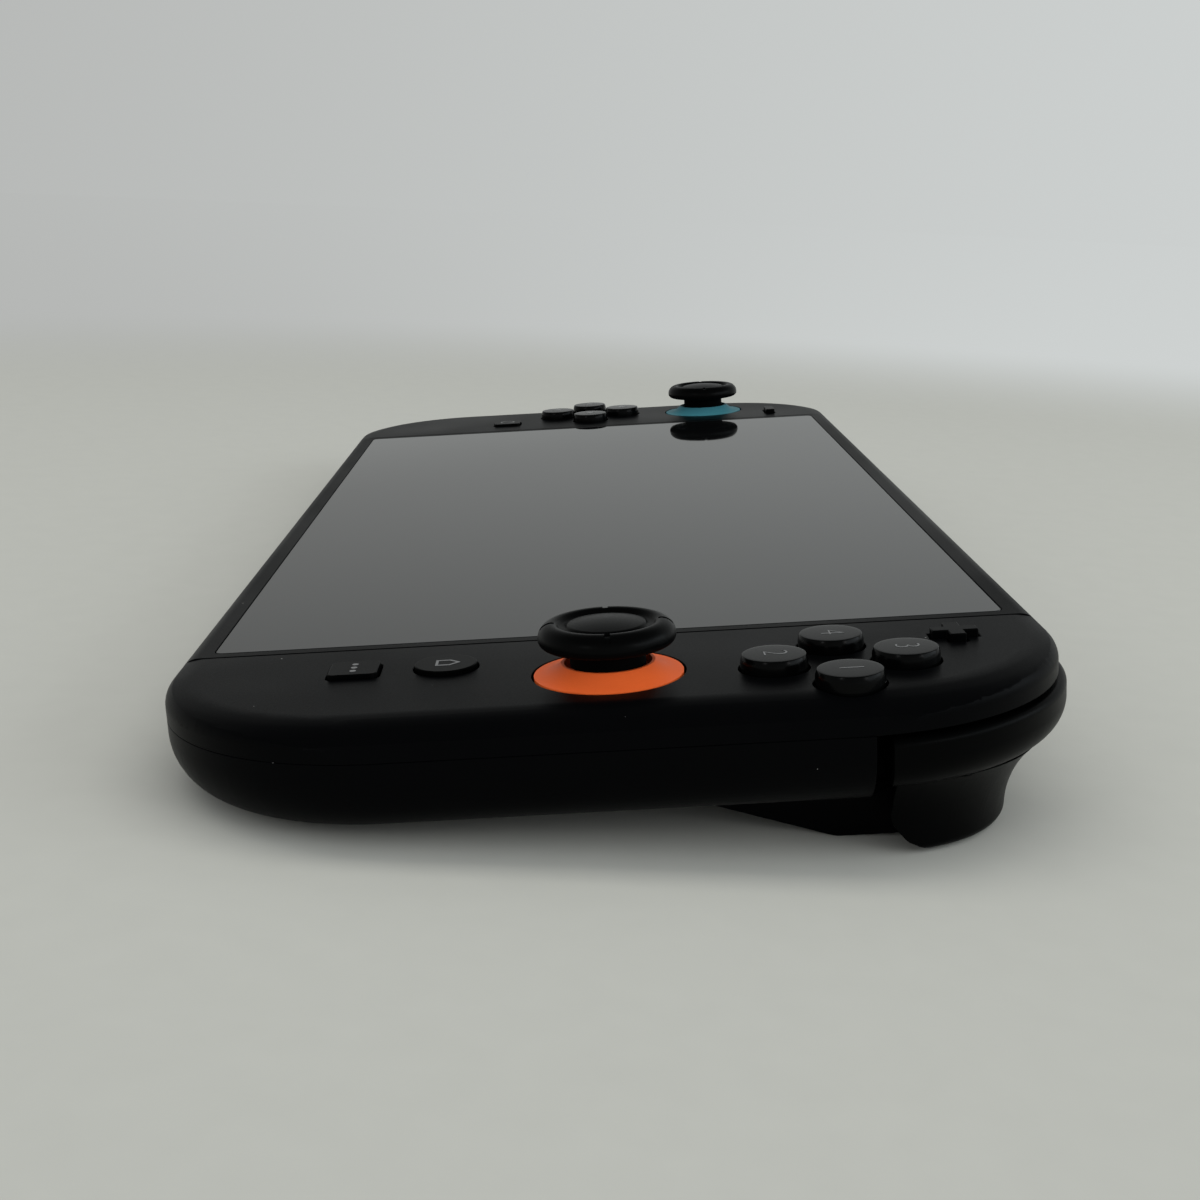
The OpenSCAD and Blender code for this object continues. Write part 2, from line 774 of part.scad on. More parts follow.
module front_frame() {
    lug_y = edge_y - rocker_pin_d;
    half_h = edge_button_h / 2 + 0.4;
    lug_levels = [[split_z + 0.1, edge_z - half_h], [edge_z + half_h, plate_z]];
    color(plain) seated() difference() {
        union() {
            difference() {
                tablet_slab();
                below_split();
                tablet_inside();
                along_z(glass_z, console_t + cut)
                    round_rect(glass_l + 2 * pocket_gap, glass_w + 2 * pocket_gap, glass_r + pocket_gap);
                along_z(panel_z, console_t)
                    round_rect(panel_l + 2 * pocket_gap, panel_w + 2 * pocket_gap, glass_r + pocket_gap);
                side_channels();
                edge_openings();
            }
            // Bosses for the case screws, down to the rear cover's bosses
            screw_places() translate([0, 0, split_z - 1])
                cylinder(r = boss_r, h = plate_z + cut / 2 - split_z + 1);
            // Lugs for the rocker's pin
            for (z = lug_levels)
                translate([volume_x - 2, lug_y - 1.8, z[0]])
                    cube([4, rocker_pin_d + 1.4 - wall / 2, z[1] - z[0]]);
            // Lugs for the card flap's pin
            for (s = [-1, 1])
                translate([card_x + s * (card_l / 2 + button_gap + 1) - 1, card_pin_y() - 1.2, split_z])
                    cube([2, 0.9 + wall / 2, 2.4]);
        }
        screw_places() translate([0, 0, -cut]) cylinder(r = screw_r + pin_gap, h = screw_top() + cut + 0.3);
        translate([volume_x, lug_y, split_z - cut])
            cylinder(r = rocker_pin_r + pin_gap, h = plate_z - split_z + cut + 0.1);
        translate([0, card_pin_y(), card_pin_z]) rotate([0, 90, 0])
            translate([0, 0, card_x - card_l / 2 - button_gap - 1.2])
                cylinder(r = card_pin_r + pin_gap, h = card_l + 2 * button_gap + 2.4);
        // The contact tabs come through the channel's inner wall
        both_ends() translate([inside_x - cut, -tab_w / 2 - pocket_gap, channel_z - tab_t / 2 - pocket_gap])
            cube([channel_wall + 2 * cut, tab_w + 2 * pocket_gap, tab_t + 2 * pocket_gap]);
    }
}

function screw_base() = stand_sink + screw_head_h;
function screw_top() = screw_base() + screw_l;

// Outline of the stand, grown by g
module stand_plan(g) {
    reach = stand_low - stand_hinge_y;
    difference() {
        intersection() {
            translate([0, -stand_hinge_y - reach / 2 + stand_r])
                round_rect(stand_l + 2 * g, reach + 2 * stand_r + 2 * g, stand_r);
            translate([-big * 2, -big - stand_hinge_y]) square([big * 4, big]);
        }
        translate([-stand_l / 2 + stand_bar + g, -stand_low + stand_bar + g])
            square([stand_l - 2 * stand_bar - 2 * g, big]);
    }
}

// The arms' stretch past the hinge, grown by g
module stand_arm_room(g) {
    for (s = [-1, 1])
        translate([s * (stand_l - stand_bar) / 2, -stand_hinge_y + stand_room / 2 - cut])
            square([stand_bar + 2 * g, stand_room + 2 * cut + 2 * (g - stand_gap)], center = true);
}

module stand_recess(g) {
    stand_plan(g);
    stand_arm_room(g);
}

module rear_cover() {
    color(plain) seated() difference() {
        union() {
            difference() {
                intersection() {
                    tablet_slab();
                    below_split();
                }
                difference() {
                    tablet_inside();
                    along_z(-cut, tub_z) stand_recess(stand_gap + tub_wall);
                }
            }
            screw_places() translate([0, 0, floor_z - cut])
                cylinder(r = boss_r, h = split_z - 1 - floor_z + cut);
            board_posts() translate([0, 0, floor_z - cut]) cylinder(r = 2.2, h = board_z - floor_z + cut);
            card_posts() translate([0, 0, floor_z - cut]) cylinder(r = 1.8, h = reader_z() - floor_z + cut);
            translate([jack_x, edge_y - jack_d + 2, floor_z - cut])
                cylinder(r = 1.8, h = edge_z - jack_size / 2 - floor_z + cut);
            // Outer cheeks that hold the stand's pins
            for (s = [-1, 1])
                translate([s * (stand_l / 2 + stand_gap + 1.1) - 1.1, -stand_hinge_y - 2, floor_z - cut])
                    cube([2.2, 4, tub_z - floor_z + cut]);
        }
        along_z(-cut, recess_z) stand_recess(stand_gap);
        side_channels();
        screw_places() translate([0, 0, -cut]) cylinder(r = screw_r + pin_gap, h = split_z);
        screw_places() translate([0, 0, -cut])
            cylinder(r = screw_head_r + pocket_gap, h = screw_base() + cut);
        translate([-stand_l / 2 - stand_pin_l - pocket_gap, -stand_hinge_y, stand_z]) rotate([0, 90, 0])
            cylinder(r = stand_pin_r + pin_gap, h = stand_l + 2 * stand_pin_l + 2 * pocket_gap);
        // Air intake
        for (i = [0 : vent_n - 1])
            translate([-8 - i * vent_pitch, 28, -cut])
                linear_extrude(floor_z + 2 * cut) rotate(90) stadium(4 * vent_h, vent_w);
        card_opening();
        along_y(edge_y - rear_r, edge_y + cut)
            translate([jack_x, edge_z]) circle(jack_size / 2 + pocket_gap);
    }
}

module kickstand() {
    pin_l = stand_l + 2 * stand_pin_l;
    color(dark) seated() {
        along_z(stand_sink, stand_sink + stand_t) stand_plan(0);
        for (s = [-1, 1])
            translate([s * (stand_l - stand_bar) / 2, -stand_hinge_y, stand_z]) rotate([0, 90, 0])
                cylinder(r = stand_t / 2, h = stand_bar, center = true);
        for (s = [0, 1])
            mirror([s, 0, 0]) translate([stand_l / 2 - stand_bar / 2, -stand_hinge_y, stand_z])
                rotate([0, 90, 0]) cylinder(r = stand_pin_r, h = stand_bar / 2 + stand_pin_l);
    }
}

board_x0 = fan_x - fan_r - 4.5 - board_l;
board_y0 = edge_y - usb_d - 0.9 - board_w;
chips_z = board_z + board_t + chip_t;

module board_posts() {
    for (x = [4, board_l - 4], y = [4, board_w - 4]) translate([board_x0 + x, board_y0 + y, 0]) children();
}

module main_board() {
    chips = chip_pitch * [[15, 4, 11, 13], [29, 5, 7, 7], [29, 13.5, 6, 5]];
    color("#1f4a37") seated() {
        translate([board_x0, board_y0, board_z]) cube([board_l, board_w, board_t]);
        for (c = chips)
            translate([board_x0 + c[0], board_y0 + c[1], board_z + board_t]) cube([c[2], c[3], chip_t]);
    }
}

module heat_spreader() {
    color("#b08a5a") seated()
        translate([board_x0 + spreader_start, board_y0 + spreader_side, chips_z]) difference() {
            cube([board_l - spreader_start - spreader_end, board_w - 2 * spreader_side, spreader_t]);
            for (i = [0 : 3])
                translate([8 + 14 * i, board_w - 14, -cut]) cube([6, big, spreader_t + 2 * cut]);
        }
}

module fan_housing() {
    mouth = 2 * fan_r - 8;
    color("#26282b") seated() translate(fan_place) {
        difference() {
            union() {
                cylinder(r = fan_r, h = fan_h);
                translate([-mouth / 2, 0, 0]) cube([mouth, fan_mouth - fan_place.y, fan_h]);
            }
            translate([0, 0, fan_wall]) cylinder(r = fan_r - fan_wall, h = fan_h);
            translate([-mouth / 2 + fan_wall, 0, fan_wall]) cube([mouth - 2 * fan_wall, big, fan_h]);
        }
        cylinder(r = axle_r, h = fan_h - 1.2);
    }
}

module fan_rotor() {
    blade_r = fan_r - fan_wall - 0.8;
    rotor_h = fan_h - fan_wall - 0.9;
    color("#34373a") seated() translate(fan_place + [0, 0, fan_wall + button_gap]) difference() {
        union() {
            cylinder(r = hub_r, h = rotor_h);
            for (i = [0 : blade_n - 1])
                rotate(i * 360 / blade_n) translate([hub_r - 1, 0, 0]) rotate(25)
                    cube([blade_r - hub_r, 0.8, rotor_h - 0.6]);
        }
        translate([0, 0, -cut]) cylinder(r = axle_r + pin_gap, h = big);
    }
}

module battery_pack() {
    color("#3c3f45") seated()
        translate([battery_gap + battery_l / 2 - speaker_x, -18, 0])
            along_z(floor_z, floor_z + battery_t) round_rect(battery_l, battery_w, 2);
}

module speakers() {
    color("#202225") seated() both_ends() {
        translate([speaker_x, -edge_y + 5, tub_z]) cube([speaker_l, speaker_w, speaker_t]);
        translate([speaker_x + speaker_l / 2, -edge_y + 5 + speaker_w / 2, tub_z + speaker_t - cut])
            cylinder(r = speaker_w / 2 - 1, h = 0.6 + cut);
    }
}

function reader_z() = card_pin_z - 0.9;

module card_posts() {
    for (x = [-9, 9]) translate([card_x + x, edge_y - 18, 0]) children();
}

module card_reader() {
    l = card_l - 3;
    y = edge_y - reader_in - reader_d;
    color("#9a9ea3") seated() translate([card_x - l / 2, y, reader_z()]) difference() {
        cube([l, reader_d, reader_h]);
        translate([0.8, 2, 0.6]) cube([l - 1.6, big, reader_h - 1.2]);
    }
}

module card_door() {
    color(plain) seated() {
        translate([card_x - card_l / 2, card_pin_y() - 0.5, card_pin_z])
            cube([card_l, card_door_t, card_door_top() - card_pin_z]);
        translate([card_x - card_l / 2, card_pin_y(), card_pin_z]) rotate([0, 90, 0]) {
            cylinder(r = 0.7, h = card_l);
            translate([0, 0, -button_gap - 1]) cylinder(r = card_pin_r, h = card_l + 2 * button_gap + 2);
        }
    }
}

module power_button() {
    inner = edge_y - wall - flange_back;
    color(dark) seated() {
        along_y(inner - edge_flange_t, edge_y + edge_proud)
            translate([power_x, edge_z]) stadium(power_l, edge_button_h);
        along_y(inner - edge_flange_t, inner)
            translate([power_x, edge_z]) square([power_l + 3, edge_button_h], center = true);
    }
}

module volume_rocker() {
    inner = edge_y - wall;
    color(dark) seated() {
        along_y(inner - edge_flange_t - 0.7, edge_y + edge_proud)
            translate([volume_x, edge_z]) stadium(volume_l, edge_button_h);
        along_y(edge_y - rocker_pin_d - 1.5, inner - 1)
            translate([volume_x, edge_z]) square([3.2, edge_button_h], center = true);
        translate([volume_x, edge_y - rocker_pin_d, edge_z])
            cylinder(r = rocker_pin_r, h = edge_button_h + 2.2, center = true);
    }
}

module usb_ports() {
    color("#a9adb2") seated() for (s = [0, 1]) mirror([0, s, 0]) {
        along_y(edge_y - 0.6 - usb_d, edge_y - 0.6) translate([0, edge_z]) difference() {
            usb_plan(usb_wall);
            usb_plan(0);
        }
        along_y(edge_y - 0.6 - usb_d, edge_y + 0.2 - usb_d) translate([0, edge_z]) usb_plan(usb_wall);
        along_y(edge_y - 0.6 - usb_d, edge_y - 1.6)
            translate([0, edge_z]) square([usb_w - 1.8, 0.7], center = true);
    }
}

module audio_jack() {
    body_y = edge_y - wall - 1.6;
    color("#1d1e20") seated() difference() {
        union() {
            translate([jack_x - jack_size / 2, edge_y - jack_d - 0.6, edge_z - jack_size / 2])
                cube([jack_size, body_y - edge_y + jack_d + 0.6, jack_size]);
            along_y(body_y - cut, edge_y - 0.6) translate([jack_x, edge_z]) circle(jack_size / 2);
        }
        along_y(edge_y - 0.6 - jack_d + 1, edge_y) translate([jack_x, edge_z]) circle(jack_r);
    }
}

module case_screws() {
    color("#6e7175") seated() screw_places() difference() {
        union() {
            translate([0, 0, stand_sink]) cylinder(r = screw_head_r, h = screw_head_h);
            translate([0, 0, stand_sink]) cylinder(r = screw_r, h = screw_head_h + screw_l);
        }
        for (a = [0, 90])
            rotate(a) translate([0, 0, stand_sink]) cube([1.8, 0.5, 1], center = true);
    }
}

module side_connectors() {
    body_h = 4.6;
    color("#2a2c2f") seated() both_ends() {
        translate([inside_x - 3, -tab_w / 2 - 2, channel_z - body_h / 2]) cube([3, tab_w + 4, body_h]);
        translate([inside_x - 1, -tab_w / 2, channel_z - tab_t / 2])
            cube([channel_wall + tab_l + 1, tab_w, tab_t]);
    }
}

// Controller shells, drawn for the right end

module front_shell(stick, group) {
    difference() {
        union() {
            difference() {
                intersection() {
                    controller_slab(seam_x, 0, shell_z, console_t, 0, front_r);
                    front_roll();
                }
                controller_slab(seam_x - cut, front_rim, shell_z - cut, under_z, 0, 0);
            }
            // Boss for the bumper's pin
            translate([bumper_pin.x, bumper_pin.y, shell_z])
                cylinder(r = bumper_pin_r + 0.65, h = under_z - shell_z + cut);
        }
        translate([bumper_pin.x, bumper_pin.y, shell_z - cut])
            cylinder(r = bumper_pin_r + pin_gap, h = bumper_pin_top() - shell_z + cut + 0.2);
        translate([stick.x, stick.y, under_z])
            cylinder(r1 = skirt_hole_r + skirt_undercut, r2 = skirt_hole_r, h = face_wall);
        for (p = group_places(group))
            translate([p.x, p.y, button_room_z])
                cylinder(r = round_d / 2 + button_gap, h = console_t + cut - button_room_z);
        along_z(under_z - cut, console_t + cut) children();
    }
}

function bumper_pin_top() = under_z - 0.6;

// The solid corner of the rear shell, out of which the bumper's well is cut
module corner_block() {
    difference() {
        past_slot(seam_x + rail_plate_t, slot_y, -cut);
        corner_column(well_ring - ring_wall);
    }
}

module hump_section() {
    ridge_z = hump_r - hump_d;
    run = hump_ridge - hump_start;
    span = sqrt(run * run + ridge_z * ridge_z);
    slope = atan2(ridge_z, run) - asin(hump_r / span);
    ramp = sqrt(span * span - hump_r * hump_r);
    polygon([
        [hump_start - wall / tan(-slope), wall], [hump_start, 0],
        [hump_start + ramp * cos(slope), ramp * sin(slope)],
        [hump_ridge, ridge_z], [hump_ridge, wall]
    ]);
    translate([hump_ridge, ridge_z]) circle(hump_r);
    translate([hump_ridge, -hump_d]) square([edge_y - hump_ridge, hump_d + wall]);
}

module pcb_posts() {
    for (p = [[seam_x + 4.2, -46], [end_x - 7, -18], [seam_x + 4.2, 16], [end_x - 7.5, 12]])
        translate([p.x, p.y, 0]) children();
}

// Upright plane at the corner's middle, turned to face outwards
module at_corner() {
    translate([cx, cy, 0]) rotate(45) children();
}

module rear_shell() {
    difference() {
        union() {
            difference() {
                controller_slab(seam_x, 0, 0, shell_z, rear_r, 0);
                difference() {
                    controller_slab(seam_x - cut, wall, floor_z, shell_z + cut, inside_r, 0);
                    past_chord(chord_face - ring_wall);
                    corner_block();
                }
            }
            difference() {
                along_x(seam_x + 2.7, cx + hump_reach) hump_section();
                difference() {
                    past_slot(seam_x, cy, -big / 2);
                    corner_column(hump_reach + 2);
                }
            }
            pcb_posts() translate([0, 0, floor_z - cut]) cylinder(r = 1.5, h = pcb_z - floor_z + cut);
        }
        intersection() {
            past_chord(chord_face);
            past_slot(trigger_clip_x - 1.2, slot_y, -big / 2);
        }
        difference() {
            past_slot(bumper_x - 0.5, slot_y, well_floor);
            corner_column(well_ring);
        }
        past_slot(bumper_x - 0.5, slot_y, well_top);
        // Room for the stem of the outermost button
        translate([right_group.x + group_r, right_group.y, pcb_z])
            cylinder(r = round_d / 4 + button_gap, h = big);
        translate([release_place.x, release_place.y, -big / 2])
            linear_extrude(big / 2 - hump_d + release_sink + release_t + release_travel + 0.3)
                stadium(release_l + 2 * button_gap, release_w + 2 * button_gap);
    }
    // Ears for the trigger's pin
    for (s = [-1, 1]) at_corner() difference() {
        translate([chord_face - cut, s * (ear_y + ear_t / 2) - ear_t / 2, trigger_pin_z - ear_h / 2])
            cube([trigger_axis + ear_reach - chord_face + cut, ear_t, ear_h]);
        translate([trigger_axis, 0, trigger_pin_z]) rotate([90, 0, 0])
            cylinder(r = trigger_pin_r + pin_gap, h = big, center = true);
    }
}

module rail_plate() {
    half = rail_l / 2;
    difference() {
        union() {
            along_x(seam_x, seam_x + rail_plate_t)
                slab_section(front_rim + pocket_gap, floor_z + pocket_gap, under_z - pocket_gap,
                    inside_r, 0);
            along_x(rail_x, seam_x + cut) translate([0, channel_z])
                round_rect(rail_l, rail_h, channel_r);
        }
        for (s = [-1, 1])
            along_x(rail_x - cut, rail_x + 3) translate([s * rail_button_y, channel_z])
                stadium(rail_button_l + 2 * button_gap, rail_button_w + 2 * button_gap);
        along_x(rail_x - cut, rail_x + tab_l + 0.6) translate([0, channel_z])
            square([tab_w + 4 * pocket_gap, tab_t + 4 * pocket_gap], center = true);
    }
}

module rail_button(s) {
    along_x(rail_x - rail_button_proud, rail_x + 2.2) translate([s * rail_button_y, channel_z])
        stadium(rail_button_l, rail_button_w);
}

// Controller board, cut back for the stick's base and the bumper
module controller_board(stick) {
    x0 = seam_x + rail_plate_t + 0.8;
    low_r = corner_r - front_rim - 1;
    along_z(pcb_z, pcb_top) difference() {
        union() {
            translate([x0, -cy]) square([cx + low_r - x0, 2 * cy]);
            intersection() {
                translate([cx, cy]) circle(well_ring - 0.6);
                translate([x0, cy]) square(big);
            }
            intersection() {
                translate([cx, -cy]) circle(low_r);
                translate([x0, -cy - big]) square(big);
            }
        }
        translate(stick) circle(stick_base_r + pocket_gap + 0.2);
        translate([cx, cy]) rotate(45)
            translate([chord_face - ring_wall - 0.4, -big]) square([big, 2 * big]);
    }
}

module controller_cell() {
    cell_y = right_stick_y - stick_base_r - cell_gap;
    translate([seam_x + 4.2 + cell_w / 2, cell_y - cell_l / 2, 0])
        along_z(floor_z, floor_z + cell_t) round_rect(cell_w, cell_l, 1.5);
}

// Stick, drawn round its own axis

module stick_base() {
    difference() {
        union() {
            translate([0, 0, floor_z]) cylinder(r = stick_base_r, h = stick_base_top - floor_z);
            for (s = [-1, 1])
                translate([s * (ear_in + gimbal_ear_t / 2) - gimbal_ear_t / 2, -1.5, stick_base_top - cut])
                    cube([gimbal_ear_t, 3, pivot_z + gimbal_pin_r + 0.35 - stick_base_top + cut]);
        }
        translate([0, 0, pivot_z]) rotate([0, 90, 0])
            cylinder(r = gimbal_pin_r + pin_gap, h = big, center = true);
    }
}

module stick_yoke() {
    translate([0, 0, pivot_z]) difference() {
        union() {
            difference() {
                cylinder(r = ring_out_r, h = ring_h, center = true);
                cylinder(r = ring_in_r, h = ring_h + cut, center = true);
            }
            for (s = [0, 1])
                mirror([s, 0, 0]) translate([(ring_in_r + ring_out_r) / 2, 0, 0]) rotate([0, 90, 0])
                    cylinder(r = gimbal_pin_r, h = ear_in + gimbal_ear_t - (ring_in_r + ring_out_r) / 2);
        }
        rotate([90, 0, 0]) cylinder(r = gimbal_pin_r + pin_gap, h = big, center = true);
    }
}

module skirt_section() {
    sweep_w = skirt_r - 0.2 - lip_r;
    sweep_r = (sweep_w * sweep_w + skirt_rise * skirt_rise) / (2 * skirt_rise);
    difference() {
        translate([0, web_z]) square([skirt_r, skirt_rise + skirt_t]);
        translate([skirt_r - 0.2, console_t + sweep_r]) circle(sweep_r);
        translate([0, web_z + web_t]) square([neck_r + neck_gap, big]);
    }
    translate([0, web_z]) square([shaft_r, console_t + shaft_top - web_z]);
    translate([0, pivot_z - ring_h / 2]) square([lever_r, web_z + web_t - pivot_z + ring_h / 2]);
}

module stick_skirt() {
    rotate_extrude() skirt_section();
    translate([0, 0, pivot_z]) rotate([90, 0, 0])
        cylinder(r = gimbal_pin_r, h = 2 * ring_out_r - 0.2, center = true);
}

module cap_section() {
    dome_sweep = (dome_r * dome_r + dome_rise * dome_rise) / (2 * dome_rise);
    dish_z = cap_high - dish_d;
    neck_z = web_z - console_t + web_t + click_travel + pocket_gap;
    difference() {
        union() {
            difference() {
                edge_section(cap_r, cap_low, cap_high, cap_low_r, cap_high_r);
                translate([0, dish_z]) square([dish_r, big]);
            }
            intersection() {
                translate([0, cap_top - dome_sweep]) circle(dome_sweep);
                translate([0, dish_z - 0.2]) square([dome_r, cap_top - dish_z + 0.2]);
            }
            translate([0, neck_z]) square([neck_r, dish_z - 1 - neck_z]);
        }
        translate([0, neck_z - cut])
            square([shaft_r + pin_gap, shaft_top + click_travel + 0.2 - neck_z + cut]);
    }
}

module stick_cap() {
    translate([0, 0, console_t]) rotate_extrude() cap_section();
}

// Bumper, trigger and release button

// Half space above (s = 0) or below (s = -1) the sloping joint between bumper and trigger
module past_joint(z, s) {
    at_corner() translate([0, -taper_start, z]) rotate([-taper_angle, 0, 0])
        translate([-big, -big, s * big]) cube([2 * big, 2 * big, big]);
}

module bumper_section() {
    difference() {
        edge_section(bumper_reach, bumper_z0, bumper_z1, bumper_low_r, bumper_top_r);
        translate([-cut, bumper_z0 - cut]) square([bumper_in + cut, bumper_h + 2 * cut]);
    }
}

module bumper() {
    difference() {
        intersection() {
            union() {
                translate([bumper_cx, cy, 0]) rotate_extrude(angle = 90) bumper_section();
                translate([bumper_x, cy, 0]) rotate([90, 0, 90])
                    linear_extrude(bumper_cx - bumper_x) bumper_section();
            }
            past_slot(bumper_x, slot_y + slot_w, -big / 2);
        }
        past_joint(bumper_z0, -1);
    }
    translate([bumper_pin.x, bumper_pin.y, bumper_z1 - cut])
        cylinder(r = bumper_pin_r, h = bumper_pin_top() - bumper_z1 + cut);
}

module trigger_section() {
    difference() {
        translate([0, -trigger_d]) square([trigger_top_r, trigger_top + bumper_taper + trigger_d]);
        translate([trigger_waist_r + waist_r, -trigger_waist_d]) circle(waist_r);
        translate([trigger_waist_r, -trigger_d - cut]) square([big, trigger_d - trigger_waist_d + cut]);
        translate([trigger_waist_r, 0]) corner_cuts(-trigger_d, -trigger_waist_d, trigger_tip_r, 0);
    }
}

module trigger() {
    difference() {
        intersection() {
            translate([cx, cy, 0]) rotate([-rest_tilt, 0, 0])
                rotate_extrude(angle = 90) trigger_section();
            past_chord(chord);
            past_slot(trigger_clip_x, slot_y + slot_w - 0.4, -big / 2);
        }
        intersection() {
            past_joint(trigger_z1, 0);
            translate([0, 0, trigger_z1]) cube([2 * big, big, big]);
        }
        // Room for the ears and their pin
        for (s = [-1, 1]) at_corner()
            translate([0, s * (ear_y + ear_t / 2) - ear_t / 2 - ear_room,
                trigger_pin_z - ear_h / 2 - ear_swing])
                cube([trigger_axis + ear_reach + ear_swing, ear_t + 2 * ear_room, big]);
    }
    at_corner() translate([trigger_axis, 0, trigger_pin_z]) rotate([90, 0, 0])
        cylinder(r = trigger_pin_r, h = 2 * (ear_y + ear_t) - 0.2, center = true);
}

module release_button() {
    translate([release_place.x, release_place.y, 0])
        along_z(release_sink - hump_d, release_sink - hump_d + release_t) stadium(release_l, release_w);
}

// Face buttons

// Its flange has only two lips, above and below, because the outermost button sits at the rim
module round_button(place) {
    lip_z = under_z - flange_t;
    translate([place.x, place.y, 0]) {
        rotate_extrude() {
            edge_section(round_d / 2, lip_z, console_t + round_proud, 0, round_crown);
            translate([0, stem_z]) square([round_d / 4, lip_z + cut - stem_z]);
        }
        along_z(lip_z, under_z) square([round_d / 2, round_d + 2 * flange_w], center = true);
    }
}

module plus_plan(g) {
    square([sign_l + 2 * g, sign_w + 2 * g], center = true);
    square([sign_w + 2 * g, sign_l + 2 * g], center = true);
}

module minus_plan(g) {
    square([sign_l + 2 * g, sign_w + 2 * g], center = true);
}

module square_plan(g) {
    round_rect(square_w + 2 * g, square_w + 2 * g, square_r + g);
}

// A small button: its plan as child 0, its flange's plan as child 1
module small_button(place, proud) {
    translate([place.x, place.y, 0]) {
        along_z(stem_z, console_t + proud) children(0);
        along_z(under_z - flange_t, under_z) children(1);
    }
}

// Right controller

right_group_at = group_places(right_group);
left_group_at = group_places(left_group);

module right_front_shell() {
    color(plain) seated() front_shell(right_stick, right_group) {
        translate(sign_place) plus_plan(button_gap);
        translate(home_place) circle(home_d / 2 + button_gap);
        translate(chat_place) square_plan(button_gap);
    }
}
module right_rear_shell() { color(plain) seated() rear_shell(); }
module right_rail_plate() { color(orange) seated() rail_plate(); }
module right_board() { color("#1f4a37") seated() controller_board(right_stick); }
module right_cell() { color("#3c3f45") seated() controller_cell(); }
module right_stick_base() { color(dark) seated() translate(right_stick) stick_base(); }
module right_stick_yoke() { color("#8a8d91") seated() translate(right_stick) stick_yoke(); }
module right_stick_skirt() { color(orange) seated() translate(right_stick) stick_skirt(); }
module right_stick_cap() { color(dark) seated() translate(right_stick) stick_cap(); }
module right_bumper() { color(dark) seated() bumper(); }
module right_trigger() { color(dark) seated() trigger(); }
module right_release_button() { color(dark) seated() release_button(); }
module right_sl_button() { color(dark) seated() rail_button(1); }
module right_sr_button() { color(dark) seated() rail_button(-1); }
module action_outer_button() { color(dark) seated() round_button(right_group_at[0]); }
module action_top_button() { color(dark) seated() round_button(right_group_at[1]); }
module action_inner_button() { color(dark) seated() round_button(right_group_at[2]); }
module action_bottom_button() { color(dark) seated() round_button(right_group_at[3]); }
module plus_button() {
    color(dark) seated() small_button(sign_place, sign_proud) {
        plus_plan(0);
        circle(sign_l / 2 + flange_w);
    }
}
module home_button() {
    color(dark) seated() small_button(home_place, small_proud) {
        circle(home_d / 2);
        circle(home_d / 2 + flange_w);
    }
}
module chat_button() {
    color(dark) seated() small_button(chat_place, small_proud) {
        square_plan(0);
        square_plan(flange_w);
    }
}

// Left controller

module left_front_shell() {
    color(plain) seated_left() front_shell(left_stick, left_group) {
        translate(sign_place) minus_plan(button_gap);
        translate(home_place) square_plan(button_gap);
    }
}
module left_rear_shell() { color(plain) seated_left() rear_shell(); }
module left_rail_plate() { color(blue) seated_left() rail_plate(); }
module left_board() { color("#1f4a37") seated_left() controller_board(left_stick); }
module left_cell() { color("#3c3f45") seated_left() controller_cell(); }
module left_stick_base() { color(dark) seated_left() translate(left_stick) stick_base(); }
module left_stick_yoke() { color("#8a8d91") seated_left() translate(left_stick) stick_yoke(); }
module left_stick_skirt() { color(blue) seated_left() translate(left_stick) stick_skirt(); }
module left_stick_cap() { color(dark) seated_left() translate(left_stick) stick_cap(); }
module left_bumper() { color(dark) seated_left() bumper(); }
module left_trigger() { color(dark) seated_left() trigger(); }
module left_release_button() { color(dark) seated_left() release_button(); }
module left_sl_button() { color(dark) seated_left() rail_button(1); }
module left_sr_button() { color(dark) seated_left() rail_button(-1); }
module direction_left_button() { color(dark) seated_left() round_button(left_group_at[0]); }
module direction_up_button() { color(dark) seated_left() round_button(left_group_at[1]); }
module direction_right_button() { color(dark) seated_left() round_button(left_group_at[2]); }
module direction_down_button() { color(dark) seated_left() round_button(left_group_at[3]); }
module minus_button() {
    color(dark) seated_left() small_button(sign_place, sign_proud) {
        minus_plan(0);
        minus_plan(flange_w);
    }
}
module capture_button() {
    color(dark) seated_left() small_button(home_place, small_proud) {
        square_plan(0);
        square_plan(flange_w);
    }
}

display_glass();
display_panel();
front_frame();
rear_cover();
kickstand();
main_board();
heat_spreader();
fan_housing();
fan_rotor();
battery_pack();
speakers();
card_reader();
card_door();
power_button();
volume_rocker();
usb_ports();
audio_jack();
case_screws();
side_connectors();
right_front_shell();
right_rear_shell();
right_rail_plate();
right_board();
right_cell();
right_stick_base();
right_stick_yoke();
right_stick_skirt();
right_stick_cap();
right_bumper();
right_trigger();
right_release_button();
right_sl_button();
right_sr_button();
action_outer_button();
action_top_button();
action_inner_button();
action_bottom_button();
plus_button();
home_button();
chat_button();
left_front_shell();
left_rear_shell();
left_rail_plate();
left_board();
left_cell();
left_stick_base();
left_stick_yoke();
left_stick_skirt();
left_stick_cap();
left_bumper();
left_trigger();
left_release_button();
left_sl_button();
left_sr_button();
direction_left_button();
direction_up_button();
direction_right_button();
direction_down_button();
minus_button();
capture_button();
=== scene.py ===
"""Looks of a handheld game console: softened casings, marks, finishes, floor, light and camera."""
import json
import math

import bpy
from mathutils import Matrix, Vector
from mathutils.bvhtree import BVHTree


